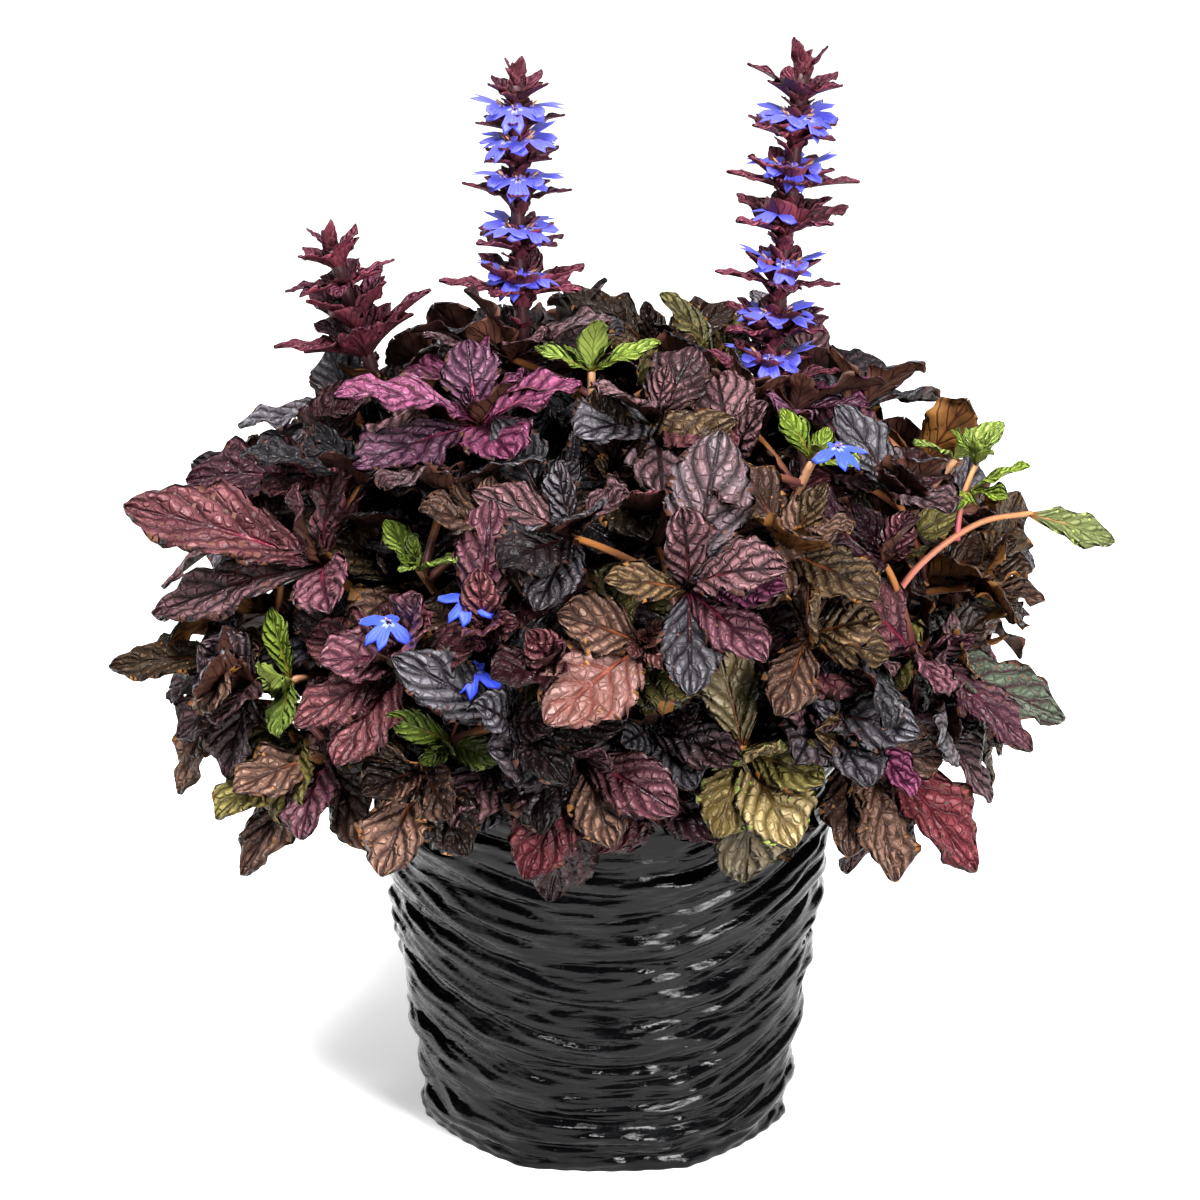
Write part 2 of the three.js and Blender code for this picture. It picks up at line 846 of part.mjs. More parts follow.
// The other crowns are spread over the dome, a golden angle apart, where no other crown stands
function planRuledCrowns() {
  let number = 0;
  for (let i = 0; i < CROWNS; i++) {
    const elevation = Math.asin(lerp(LOWEST_CROWN, HIGHEST_CROWN, (i + 0.5) / CROWNS));
    const azimuth = i * GOLDEN_ANGLE;
    const reach = CROWN_DEPTH * moundReach(elevation) * (1 + spread(UNEVEN_DOME));
    const level = reach * Math.cos(elevation);
    const offset = at(level * Math.cos(azimuth), level * Math.sin(azimuth), reach * Math.sin(elevation));
    const crown = offset.add(MOUND_CENTRE);
    const tone = toneFor(draw());
    const turn = draw() * Math.PI;
    if (plans.some((plan) => plan.crown.distanceTo(crown) < CROWN_SPACING)) continue;
    number++;
    const name = `${tone}_leafy_stem_${String(number).padStart(2, "0")}`;
    const plan = newPlan(name, tone, stemPath(crown), STEM_HALF);
    plan.turn = turn;
    plan.crown = crown;
  }
}

function planSpikes() {
  for (const spike of SPIKES) {
    const foot = at(spike.neck.x * FOOT_SPREAD, spike.neck.y * FOOT_SPREAD, SOIL_TOP - STEM_DEPTH);
    const middle = foot.clone().lerp(spike.neck, 0.5);
    const path = new THREE.CatmullRomCurve3([foot, middle, spike.neck, spike.end]);
    const plan = newPlan(spike.name, "burgundy", path, SPIKE_HALF);
    plan.crown = spike.neck;
    const rise = spike.end.clone().sub(spike.neck);
    const axis = rise.clone().normalize();
    spike.whorls.forEach((whorl, w) => {
      const spot = spike.neck.clone().addScaledVector(rise, (whorl.z - spike.neck.z) / rise.z);
      for (let i = 0; i < whorl.bracts; i++) {
        const turn = ((i + 0.5 * (w % 2)) / whorl.bracts) * 2 * Math.PI + spread(BRACT_STRAY.turn);
        const length = whorl.bract * (1 + spread(BRACT_STRAY.size));
        const { along, face } = pairDirection(axis, turn, deg(whorl.tilt + spread(BRACT_STRAY.tilt)));
        const bract = framed({
          ...leafShape(length),
          width: length * BRACT_SHAPE.share,
          widest: BRACT_SHAPE.widest,
          bend: deg(BRACT_SHAPE.bend + spread(BRACT_STRAY.bend)),
          base: spot,
          tip: spot.clone().addScaledVector(along, length),
          face,
        });
        plan.blades.push(bract);
        claim(plan.name, bladeSamples(bract).rest);
        if (i >= (whorl.flowers ?? 0)) continue;
        const start = spot.clone().addScaledVector(axis, FLOWER_ABOVE);
        const out = pairDirection(axis, turn, deg(FLOWER_TILT)).along;
        plan.flowers.push({ base: start, tip: start.clone().addScaledVector(out, FLOWER), face: axis });
      }
    });
  }
}

function planShoots() {
  for (const shoot of SHOOTS) {
    const path = stemPath(shoot.crown);
    const plan = newPlan(shoot.name, "green", path, SHOOT_HALF);
    plan.crown = shoot.crown;
    plan.turn = draw() * Math.PI;
    const axis = shoot.lean.clone().sub(shoot.crown).normalize();
    SHOOT_TILTS.forEach((tilt, level) => {
      for (let side = 0; side < 2; side++) {
        const turn = plan.turn + ((level + 2 * side) * Math.PI) / 2;
        const pair = { length: shoot.leaf, width: shoot.leaf * LEAF.share, tilt, bend: SHOOT_BEND };
        addRuledLeaf(plan, shoot.crown, axis, turn, pair);
      }
    });
  }
}

function planRunner() {
  const [start] = RUNNER.path;
  const foot = at(start.x * FOOT_SPREAD, start.y * FOOT_SPREAD, SOIL_TOP - STEM_DEPTH);
  const above = foot.clone().lerp(start, 0.5).setZ(RUNNER.bendHeight);
  const path = new THREE.CatmullRomCurve3([foot, above, ...RUNNER.path]);
  const plan = newPlan(RUNNER.name, "green", path, SHOOT_HALF);
  plan.crown = RUNNER.path.at(-1);
  plan.steps = RUNNER.steps;
  const base = spotBelow(path, RUNNER.below);
  const shape = leafShape(RUNNER.leaf);
  addBlade(plan, { ...shape, width: RUNNER.width, base, tip: RUNNER.tip, face: UP });
}

planSpikes();
planPlacedCrowns();
planShoots();
planRunner();
planRuledCrowns();
const leafy = plans.filter((plan) => plan.name.includes("leafy_stem"));
for (let level = PAIRS.length - 1; level >= 0; level--) {
  for (const plan of leafy) addPair(plan, level);
}

// The bud at a crown holds the roots of its leaves
function budSolid(plan) {
  const bud = new THREE.OctahedronGeometry(BUD_RADIUS);
  const axis = plan.path.getTangent(1);
  bud.applyQuaternion(new THREE.Quaternion().setFromUnitVectors(UP, axis));
  bud.translate(plan.crown.x, plan.crown.y, plan.crown.z);
  return solidOf(bud);
}

// What a solid seals off inside is filled, and loose scraps are dropped
function mended(solid) {
  const bodies = solid.decompose();
  if (bodies.length === 1) return solid;
  return bodies.reduce((kept, body) => (body.volume() > kept.volume() ? body : kept));
}

function planSolid(plan) {
  let solid = squareTube(plan.path, plan.half, plan.steps ?? STEM_STEPS);
  if (leafy.includes(plan)) solid = solid.add(budSolid(plan));
  for (const blade of plan.blades) solid = solid.add(bladeSolid(blade));
  for (const flower of plan.flowers) solid = solid.add(flowerSolid(flower));
  return mended(solid);
}

// A plain straight hole in the soil, round the foot of a stem
function holeFor(plan) {
  const foot = plan.path.getPoint(0);
  const share = (STEM_DEPTH + 2 * SOIL_CROWN) / plan.path.getLength();
  const above = plan.path.getPointAt(share);
  const below = foot.clone().addScaledVector(above.clone().sub(foot).normalize(), -GAP);
  return squareTube(new THREE.LineCurve3(below, above), plan.half + HOLE_ROOM, 1);
}

const group = new THREE.Group();

function addPiece(name, solid, color, roughness) {
  const material = new THREE.MeshStandardMaterial({ color, roughness, metalness: 0 });
  const mesh = new THREE.Mesh(geometryOf(solid), material);
  mesh.name = name;
  group.add(mesh);
}

addPiece("film_wrap", filmWrap(), FILM_COLOR, 0.25);
addPiece("nursery_pot", nurseryPot(), POT_COLOR, 0.5);
addPiece("potting_soil", pottingSoil(plans.map(holeFor)), SOIL_COLOR, 0.95);
for (const plan of plans) addPiece(plan.name, planSolid(plan), TONES[plan.tone], 0.6);

export default group;
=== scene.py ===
# A potted bugleweed in metres, +Z up and -Y the front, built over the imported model. The plan of its stems,
# leaves and flowers is the part's own plan, repeated in millimetres, with more leaves between them.
import math
from functools import partial
from types import SimpleNamespace

import bpy
import numpy as np
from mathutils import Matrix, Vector, noise


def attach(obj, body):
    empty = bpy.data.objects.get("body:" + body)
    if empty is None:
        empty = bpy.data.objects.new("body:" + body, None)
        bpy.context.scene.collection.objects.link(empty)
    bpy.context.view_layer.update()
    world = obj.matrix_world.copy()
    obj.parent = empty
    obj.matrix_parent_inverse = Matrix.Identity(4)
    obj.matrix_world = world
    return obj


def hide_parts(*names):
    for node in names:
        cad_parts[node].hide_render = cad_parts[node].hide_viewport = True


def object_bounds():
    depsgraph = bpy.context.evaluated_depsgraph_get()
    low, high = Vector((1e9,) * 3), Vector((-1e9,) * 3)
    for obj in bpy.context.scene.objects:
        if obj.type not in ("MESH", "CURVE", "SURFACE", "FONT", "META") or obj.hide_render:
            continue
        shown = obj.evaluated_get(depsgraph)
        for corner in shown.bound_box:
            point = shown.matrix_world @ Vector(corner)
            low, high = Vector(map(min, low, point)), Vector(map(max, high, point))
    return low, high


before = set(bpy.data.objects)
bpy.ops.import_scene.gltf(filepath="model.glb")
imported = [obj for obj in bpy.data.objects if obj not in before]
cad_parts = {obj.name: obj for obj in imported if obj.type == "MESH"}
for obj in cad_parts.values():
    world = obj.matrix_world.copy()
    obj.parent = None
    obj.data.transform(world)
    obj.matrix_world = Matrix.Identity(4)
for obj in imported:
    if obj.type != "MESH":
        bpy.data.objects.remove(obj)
cad_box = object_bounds()

MM = 0.001
CAMERA_ELEVATION = math.radians(17.5)

# Pot, film and soil, as in the part
RIM_HEIGHT = 149
FILM_BASE_RADIUS = 62
FILM_RIM_RADIUS = 82.5
FILM_WALL = 2.2
POT_WALL = 1.8
SOIL_TOP = 136
SOIL_CROWN = 3
GAP = 0.3

# Mound of leaves, as in the part
MOUND_CENTRE = np.array([0.0, 0.0, 165.0])
MOUND_HALF_WIDTH = 150
MOUND_RISE = 120
MOUND_POWER = 2.5
CROWN_DEPTH = 0.79
CROWNS = 44
CROWN_SPACING = 37
LOWEST_CROWN = 0.03
HIGHEST_CROWN = 0.99
UNEVEN_DOME = 0.03
DARK_SHARE = 0.62
BRONZE_SHARE = 0.22
GOLDEN_ANGLE = math.pi * (3 - math.sqrt(5))
SEED = 4067

# Stems, as in the part
STEM_HALF = 1.6
SHOOT_HALF = 1.2
SPIKE_HALF = 2.1
STEM_DEPTH = 11
FOOT_SPREAD = 0.46
STEM_ROOM = 6
# How far in a stem's foot stands and how far round it turns, in the order in which they are tried
FOOT_TRIES = [
    (0.46, 0), (0.46, 9), (0.46, -9), (0.38, 0), (0.38, 14), (0.38, -14),
    (0.3, 0), (0.3, 25), (0.3, -25), (0.52, 0), (0.2, 0), (0.2, 60),
]
SHOULDER = 0.3
OVER_RIM = 180

# Leaf pairs of a crown, from the lowest and largest up, with their angles in degrees
PAIRS = [
    dict(length=54, width=27, tilt=86, bend=44),
    dict(length=47, width=25, tilt=64, bend=38),
    dict(length=34, width=19, tilt=43, bend=28),
    dict(length=20, width=11, tilt=22, bend=18),
]
FACE_FORWARD = np.array([0, -0.15, 0.25])
PETIOLE = 0.11
FULLNESS = 0.8
WIDEST = 0.6
CELL = 3

UP = np.array([0.0, 0.0, 1.0])


def at(x, y, z):
    return np.array([x, y, z], float)


def unit(vector):
    return vector / math.sqrt(float(vector @ vector))


def lerp(a, b, share):
    return a + (b - a) * share


# Random numbers from 0 to 1, the same ones each time
class Draws:
    MASK = 0xFFFFFFFF

    def __init__(self, seed):
        self.state = seed

    def one(self):
        self.state = (self.state + 0x6D2B79F5) & self.MASK
        t = self.state
        t = ((t ^ (t >> 15)) * (t | 1)) & self.MASK
        t ^= (t + (t ^ (t >> 7)) * (t | 61)) & self.MASK
        return ((t ^ (t >> 14)) & self.MASK) / (self.MASK + 1)

    def spread(self, amount):
        return (self.one() * 2 - 1) * amount


draws = Draws(SEED)

# Crowns given one by one, where the front shows its feature leaves: the name, the tone, the crown,
# and the tip and the width of each leaf
PLACED_CROWNS = [
    ("dusky_leafy_stem_left", "burgundy", at(-93, -60, 218), [
        (-160, -45, 233, 28), (-151, -47, 196, 25), (-99, -74, 250, 20), (-88, -100, 214, 22),
    ]),
    ("dark_leafy_stem_far_left", "bronze", at(-122, -48, 181), [
        (-167, -42, 176, 17), (-142, -62, 138, 21), (-128, -88, 176, 22), (-149, -18, 160, 22),
    ]),
    ("bronze_leafy_stem_low_left", "bronze", at(-90, -76, 158), [
        (-120, -85, 118, 20), (-76, -102, 133, 17), (-98, -110, 140, 22), (-122, -92, 150, 22),
    ]),
    ("copper_leafy_stem_front", "copper", at(12, -111, 207), [
        (-19, -140, 190, 31), (-16, -118, 219, 22),
    ]),
    ("dark_leafy_stem_front", "dark", at(26, -106, 224), [
        (23, -118, 255, 19), (57, -118, 228, 17), (26, -139, 199, 20), (50, -132, 208, 20),
        (-1, -124, 232, 15),
    ]),
    ("burgundy_leafy_stem_low_front", "burgundy", at(-8, -112, 170), [
        (-26, -127, 133, 23), (2, -130, 145, 19), (23, -131, 157, 21), (-38, -128, 178, 28),
    ]),
    ("gold_leafy_stem_low_front", "gold", at(44, -104, 169), [
        (60, -122, 142, 26), (35, -124, 146, 20), (70, -116, 162, 20),
    ]),
    ("red_leafy_stem_low_right", "burgundy", at(84, -80, 166), [
        (92, -104, 128, 21), (121, -90, 121, 26), (99, -106, 153, 16), (66, -108, 186, 20),
    ]),
    ("purple_leafy_stem_right", "burgundy", at(102, -60, 187), [
        (140, -76, 158, 22), (153, -56, 162, 25), (106, -98, 186, 20),
    ]),
    ("bronze_leafy_stem_front_right", "bronze", at(64, -98, 205), [
        (84, -116, 174, 27), (88, -108, 214, 20), (54, -120, 186, 18),
    ]),
    ("bronze_leafy_stem_right", "bronze", at(108, -32, 204), [
        (138, -36, 219, 20), (142, -13, 194, 22), (124, -62, 214, 20),
    ]),
    ("dark_leafy_stem_top_left", "dark", at(-86, 6, 252), [
        (-126, 6, 247, 20), (-130, -14, 231, 23), (-84, -32, 262, 24), (-66, 10, 280, 20),
    ]),
    ("dark_leafy_stem_top", "dark", at(16, -48, 262), [
        (-10, -74, 265, 26), (42, -76, 262, 26), (18, -92, 250, 24), (30, -30, 284, 22),
    ]),
    ("magenta_leafy_stem_top", "magenta", at(-42, -46, 262), [
        (-82, -72, 254, 30), (-30, -82, 260, 25), (-46, -28, 286, 20),
    ]),
]

# Young green shoots: the crown, the point that it leans to, and the length of its leaves
SHOOTS = [
    ("green_shoot_left", at(-60, -92, 226), at(-62, -96, 250), 22),
    ("green_shoot_low_left", at(-104, -66, 180), at(-112, -78, 186), 24),
    ("green_shoot_low_front", at(-50, -104, 172), at(-52, -124, 180), 23),
    ("green_shoot_top", at(-5, -14, 272), at(-5, -20, 292), 24),
    ("green_shoot_right", at(68, -48, 250), at(70, -56, 268), 22),
    ("green_shoot_far_right", at(119, -2, 238), at(121, -4, 262), 24),
]
SHOOT_TILTS = [60, 26]
SHOOT_BEND = 24

RUNNER_NAME = "runner_right"
RUNNER_PATH = [at(88, -58, 196), at(104, -58, 218), at(124, -48, 229), at(142, -40, 230)]
RUNNER_TIP = at(170, -38, 219)
RUNNER_LEAF = 30
RUNNER_WIDTH = 15
RUNNER_BELOW = 2
RUNNER_BEND_HEIGHT = 168

# Flower spikes: where each stem leaves the leaves and where it ends, and each whorl's height, number of
# bracts, bract length, tilt in degrees and number of flowers
SPIKES = [
    ("flower_spike_left", at(-79, 12, 262), at(-93, 12, 308), [
        (272, 4, 32, 66, 0), (281, 4, 25, 52, 0), (296, 4, 20, 84, 0), (302, 4, 18, 58, 0),
        (307, 3, 12, 26, 0),
    ]),
    ("flower_spike_middle", at(-29, 14, 286), at(-30, 14, 364), [
        (291, 5, 27, 80, 3), (307, 4, 21, 80, 4), (324, 4, 19, 78, 4), (337, 4, 17, 76, 4),
        (348, 4, 16, 74, 3), (358, 4, 16, 60, 0), (363, 3, 12, 26, 0),
    ]),
    ("flower_spike_right", at(55, 14, 256), at(66, 14, 368), [
        (262, 4, 27, 80, 3), (277, 4, 25, 78, 4), (295, 4, 23, 78, 4), (313, 4, 27, 74, 1),
        (328, 4, 25, 76, 4), (345, 4, 21, 74, 4), (359, 5, 20, 64, 0), (366, 3, 14, 28, 0),
    ]),
]
BRACT_WIDEST = 0.5
BRACT_SHARE = 0.46
BRACT_BEND = 16
BRACT_STRAY = dict(turn=0.12, size=0.1, tilt=6, bend=12)
FLOWER_ABOVE = 4
FLOWER_TILT = 62
FLOWER = 15


# Curves, with the same points and lengths as in the part
LENGTH_STEPS = 200
TANGENT_STEP = 1e-4


class Curve:
    def points(self, count):
        return np.array([self.point(i / count) for i in range(count + 1)])

    def lengths(self):
        steps = np.linalg.norm(np.diff(self.points(LENGTH_STEPS), axis=0), axis=1)
        return np.concatenate([[0], np.cumsum(steps)])

    def length(self):
        return float(self.lengths()[-1])

    def point_at(self, share):
        lengths = self.lengths()
        return self.point(float(np.interp(share * lengths[-1], lengths, np.linspace(0, 1, len(lengths)))))

    def tangent(self, t):
        return unit(self.point(min(1, t + TANGENT_STEP)) - self.point(max(0, t - TANGENT_STEP)))

    def samples(self):
        return self.points(math.ceil(self.length() / CELL))


class Bezier(Curve):
    def __init__(self, start, middle, end):
        self.start, self.middle, self.end = start, middle, end

    def point(self, t):
        s = 1 - t
        return s * s * self.start + 2 * s * t * self.middle + t * t * self.end


class Spline(Curve):
    def __init__(self, knots):
        self.knots = knots

    def point(self, t):
        knots = self.knots
        place = (len(knots) - 1) * t
        i = min(math.floor(place), len(knots) - 2)
        share = place - i
        p1, p2 = knots[i], knots[i + 1]
        p0 = knots[i - 1] if i > 0 else 2 * p1 - p2
        p3 = knots[i + 2] if i + 2 < len(knots) else 2 * p2 - p1
        steps = (p1 - p0, p2 - p1, p3 - p2)
        d0, d1, d2 = (math.sqrt(math.sqrt(float(step @ step))) for step in steps)
        t1 = ((p1 - p0) / d0 - (p2 - p0) / (d0 + d1) + (p2 - p1) / d1) * d1
        t2 = ((p2 - p1) / d1 - (p3 - p1) / (d1 + d2) + (p3 - p2) / d2) * d1
        c2 = -3 * p1 + 3 * p2 - 2 * t1 - t2
        c3 = 2 * p1 - 2 * p2 + t1 + t2
        return p1 + t1 * share + c2 * share ** 2 + c3 * share ** 3


# Blades: a leaf, bract or young leaf is an arched midrib from base to tip
def framed(blade):
    chord = blade.tip - blade.base
    reach = math.sqrt(float(chord @ chord))
    along = chord / reach
    face = unit(blade.face - along * float(blade.face @ along))
    half = blade.bend / 2
    blade.start = along * math.cos(half) + face * math.sin(half)
    blade.up = face * math.cos(half) - along * math.sin(half)
    blade.side = np.cross(blade.start, blade.up)
    blade.length = reach * half / math.sin(half)
    return blade


def half_width(blade, u):
    shift = math.log(0.5) / math.log(blade.widest)
    body = np.sin(math.pi * np.minimum(1, u ** shift))
    return blade.width / 2 * (PETIOLE * (1 - u) + np.maximum(0, body) ** FULLNESS)


# Points on the blade: u runs 0 to 1 along the midrib, v -1 to 1 across, and lift is the height off it
def on_blade(blade, u, v, lift=0.0, half=None):
    turn = blade.bend * u
    out = blade.length * np.sin(turn) / blade.bend
    drop = blade.length * (1 - np.cos(turn)) / blade.bend
    if half is None:
        half = half_width(blade, u)
    wave = np.sin(blade.waves * 2 * math.pi * u + blade.phase) * blade.ripple
    rise = half * v * v * (blade.cup + wave) + lift
    return (
        blade.base
        + (out + rise * np.sin(turn))[..., None] * blade.start
        + (rise * np.cos(turn) - drop)[..., None] * blade.up
        + (half * v)[..., None] * blade.side
    )


# The part's clear-space test, which settles the place of each leaf
claims = {}
BLOCK = np.array([(i, j, k) for i in (-1, 0, 1) for j in (-1, 0, 1) for k in (-1, 0, 1)])


def cells_of(points):
    return np.floor(points / CELL).astype(int)


def claim(owner, points):
    for cell in {tuple(c) for c in (cells_of(points)[:, None, :] + BLOCK).reshape(-1, 3)}:
        claims.setdefault(cell, set()).add(owner)


def film_radius(z):
    return lerp(FILM_BASE_RADIUS, FILM_RIM_RADIUS, z / RIM_HEIGHT)


def in_pot(points):
    radius = np.hypot(points[:, 0], points[:, 1])
    low = points[:, 2] < RIM_HEIGHT + CELL
    return bool(np.any(low & (radius < film_radius(points[:, 2]) + CELL)))


def is_clear(points, may_meet):
    if in_pot(points):
        return False
    return all(claims.get(tuple(c), may_meet) <= may_meet for c in cells_of(points))


SAMPLES_ALONG = 11
SAMPLES_ACROSS = np.array([-0.95, -0.5, 0, 0.5, 0.95])
SAMPLES_START = 0.04
ROOT_SHARE = 0.34


def blade_samples(blade):
    along = SAMPLES_START + (1 - SAMPLES_START) * np.arange(1, SAMPLES_ALONG + 1) / SAMPLES_ALONG
    u, v = (grid.ravel() for grid in np.meshgrid(along, SAMPLES_ACROSS, indexing="ij"))
    points = on_blade(blade, u, v)
    return points[u < ROOT_SHARE], points[u >= ROOT_SHARE]


plans = []


def new_plan(name, tone, path, half, crown):
    plan = SimpleNamespace(name=name, tone=tone, path=path, half=half, crown=crown, samples=path.samples())
    plan.blades = []
    plan.flowers = []
    plan.branches = []
    plan.loose = []
    plans.append(plan)
    claim(name, plan.samples)
    return plan


def add_blade(plan, blade, may_cross=False):
    framed(blade)
    root, rest = blade_samples(blade)
    blades = plan.name + " blades"
    own = {plan.name, blades}
    if not is_clear(root, own) or not is_clear(rest, own if may_cross else {plan.name}):
        return False
    claim(plan.name, root)
    claim(blades, rest)
    plan.blades.append(blade)
    return True


LEAF = dict(bend=26, cup=0.16, waves=2.5, ripple=0.17, share=0.5)
VARIES = dict(bend=12, cup=0.14, waves=0.5, ripple=0.05, share=0.05)


def leaf_shape(length, source):
    bend = math.radians(LEAF["bend"] + source.spread(VARIES["bend"]))
    cup = LEAF["cup"] + source.spread(VARIES["cup"])
    waves = LEAF["waves"] + source.spread(VARIES["waves"])
    phase = source.one() * 2 * math.pi
    ripple = LEAF["ripple"] + source.spread(VARIES["ripple"])
    width = length * (LEAF["share"] + source.spread(VARIES["share"]))
    return SimpleNamespace(
        bend=bend, cup=cup, waves=waves, phase=phase, ripple=ripple, width=width, widest=WIDEST,
    )


# A free spot is looked for by turning the leaf, tilting it and making it smaller, in this order
TRIES = [
    (0, 0, 1), (0, -14, 1), (0, 14, 1), (18, 0, 1), (-18, 0, 1), (18, -14, 0.92), (-18, -14, 0.92),
    (18, 14, 0.92), (-18, 14, 0.92), (0, -28, 0.88), (32, 0, 0.85), (-32, 0, 0.85), (0, 26, 0.8),
    (24, -24, 0.75), (-24, -24, 0.75), (0, -14, 0.68), (0, 12, 0.62), (0, -30, 0.55),
]


NEARLY_UP = 0.95


def pair_direction(axis, turn, tilt):
    across = unit(np.cross(axis, UP if abs(axis[2]) < NEARLY_UP else at(0, 1, 0)))
    other = np.cross(axis, across)
    radial = across * math.cos(turn) + other * math.sin(turn)
    along = axis * math.cos(tilt) + radial * math.sin(tilt)
    face = axis * math.sin(tilt) - radial * math.cos(tilt)
    return along, face


STRAY = dict(size=0.12, bend=10, tilt=8, turn=0.25)


# A copy of a leaf's shape, set between its base and its tip
def leaf_between(shape, base, tip, face, width):
    made = SimpleNamespace(**vars(shape))
    made.base, made.tip, made.face, made.width = base, tip, face, width
    return made


# A leaf that leans from an axis by its tilt, turned about it
def leaning_leaf(spot, axis, turn, tilt, length, width, source):
    along, face = pair_direction(axis, turn, tilt)
    return leaf_between(leaf_shape(length, source), spot, spot + along * length, face, width)


def leaning_bract(spot, axis, turn, tilt, length, width, source):
    bract = leaning_leaf(spot, axis, turn, tilt, length, width, source)
    bract.widest = BRACT_WIDEST
    return bract


def ruled_shape(pair, source):
    length = pair["length"] * (1 + source.spread(STRAY["size"]))
    shape = leaf_shape(length, source)
    shape.width = pair["width"] * (1 + source.spread(STRAY["size"]))
    shape.bend = math.radians(pair["bend"] + source.spread(STRAY["bend"]))
    tilt = math.radians(pair["tilt"] + source.spread(STRAY["tilt"]))
    return shape, length, tilt


# Tries the leaf in each way until the given function takes it
def add_ruled_leaf(spot, axis, turn, pair, source, take, size=1.0):
    shape, length, tilt = ruled_shape(pair, source)
    for add_turn, add_tilt, scale in TRIES:
        along, face = pair_direction(axis, turn + math.radians(add_turn), tilt + math.radians(add_tilt))
        scale *= size
        tip = spot + along * (length * scale)
        if take(leaf_between(shape, spot, tip, face, shape.width * scale)):
            return


# The two leaves of a pair stand opposite each other and across the pair below
def pair_turns(first, level, source):
    for side in range(2):
        yield first + (level % 2) * math.pi / 2 + side * math.pi + source.spread(STRAY["turn"])


def add_pair(plan, level):
    for turn in pair_turns(plan.turn, level, draws):
        add_ruled_leaf(plan.crown, plan.path.tangent(1), turn, PAIRS[level], draws, partial(add_blade, plan))


def outward(point):
    return unit(point - MOUND_CENTRE + at(0, 0, MOUND_RISE / 2))


def apart(some, others):
    return float(np.min(np.linalg.norm(some[:, None, :] - others[None, :, :], axis=2)))


def turned_about_up(point, angle):
    c, s = math.cos(angle), math.sin(angle)
    return at(c * point[0] - s * point[1], s * point[0] + c * point[1], point[2])


# A point at the bottom of a stem's hole in the soil, nearer the middle than the point above it
def foot_under(point, share=FOOT_SPREAD):
    return at(point[0] * share, point[1] * share, SOIL_TOP - STEM_DEPTH)


def stem_path(crown):
    for share, turn in FOOT_TRIES:
        foot = turned_about_up(foot_under(crown, share), math.radians(turn))
        shoulder = lerp(foot, crown, SHOULDER)
        shoulder[2] = max((foot[2] + crown[2]) / 2, OVER_RIM)
        path = Bezier(foot, shoulder, crown)
        samples = path.samples()
        if all(apart(samples, plan.samples) > STEM_ROOM for plan in plans):
            return path
    return path


def plan_spikes():
    for name, neck, end, whorls in SPIKES:
        foot = foot_under(neck)
        path = Spline([foot, lerp(foot, neck, 0.5), neck, end])
        plan = new_plan(name, "spike", path, SPIKE_HALF, neck)
        rise = end - neck
        axis = unit(rise)
        for w, (z, bracts, bract_length, tilt, flowers) in enumerate(whorls):
            spot = neck + rise * ((z - neck[2]) / rise[2])
            for i in range(bracts):
                turn = (i + 0.5 * (w % 2)) / bracts * 2 * math.pi + draws.spread(BRACT_STRAY["turn"])
                length = bract_length * (1 + draws.spread(BRACT_STRAY["size"]))
                leaning = math.radians(tilt + draws.spread(BRACT_STRAY["tilt"]))
                bract = leaning_bract(spot, axis, turn, leaning, length, length * BRACT_SHARE, draws)
                bract.bend = math.radians(BRACT_BEND + draws.spread(BRACT_STRAY["bend"]))
                plan.blades.append(framed(bract))
                claim(name, blade_samples(bract)[1])
                if i < flowers:
                    start = spot + axis * FLOWER_ABOVE
                    out = pair_direction(axis, turn, math.radians(FLOWER_TILT))[0]
                    plan.flowers.append(SimpleNamespace(base=start, tip=start + out * FLOWER, face=axis))


# A leaf from its crown to the tip that a table gives, with the table's width
def placed_leaf(crown, leaf, source):
    *place, width = leaf
    tip = at(*place)
    shape = leaf_shape(float(np.linalg.norm(tip - crown)), source)
    return leaf_between(shape, crown, tip, outward(tip) + FACE_FORWARD, width)


def plan_placed_crowns():
    placed = []
    for name, tone, crown, leaves in PLACED_CROWNS:
        plan = new_plan(name, tone, stem_path(crown), STEM_HALF, crown)
        plan.turn = draws.one() * math.pi
        placed.append((plan, leaves))
    for plan, leaves in placed:
        for leaf in leaves:
            add_blade(plan, placed_leaf(plan.crown, leaf, draws), True)


def plan_shoots():
    for name, crown, lean, leaf in SHOOTS:
        plan = new_plan(name, "green", stem_path(crown), SHOOT_HALF, crown)
        plan.turn = draws.one() * math.pi
        axis = unit(lean - crown)
        for level, tilt in enumerate(SHOOT_TILTS):
            for side in range(2):
                turn = plan.turn + (level + 2 * side) * math.pi / 2
                pair = dict(length=leaf, width=leaf * LEAF["share"], tilt=tilt, bend=SHOOT_BEND)
                add_ruled_leaf(crown, axis, turn, pair, draws, partial(add_blade, plan))


def plan_runner():
    foot = foot_under(RUNNER_PATH[0])
    above = lerp(foot, RUNNER_PATH[0], 0.5)
    above[2] = RUNNER_BEND_HEIGHT
    path = Spline([foot, above, *RUNNER_PATH])
    plan = new_plan(RUNNER_NAME, "green", path, SHOOT_HALF, RUNNER_PATH[-1])
    base = path.point_at(1 - RUNNER_BELOW / path.length())
    add_blade(plan, leaf_between(leaf_shape(RUNNER_LEAF, draws), base, RUNNER_TIP, UP, RUNNER_WIDTH))


def mound_reach(elevation):
    across = math.cos(elevation) / MOUND_HALF_WIDTH
    up = abs(math.sin(elevation)) / MOUND_RISE
    return (across ** MOUND_POWER + up ** MOUND_POWER) ** (-1 / MOUND_POWER)


def on_dome(elevation, azimuth, depth):
    reach = depth * mound_reach(elevation)
    level = reach * math.cos(elevation)
    height = reach * math.sin(elevation)
    return MOUND_CENTRE + at(level * math.cos(azimuth), level * math.sin(azimuth), height)


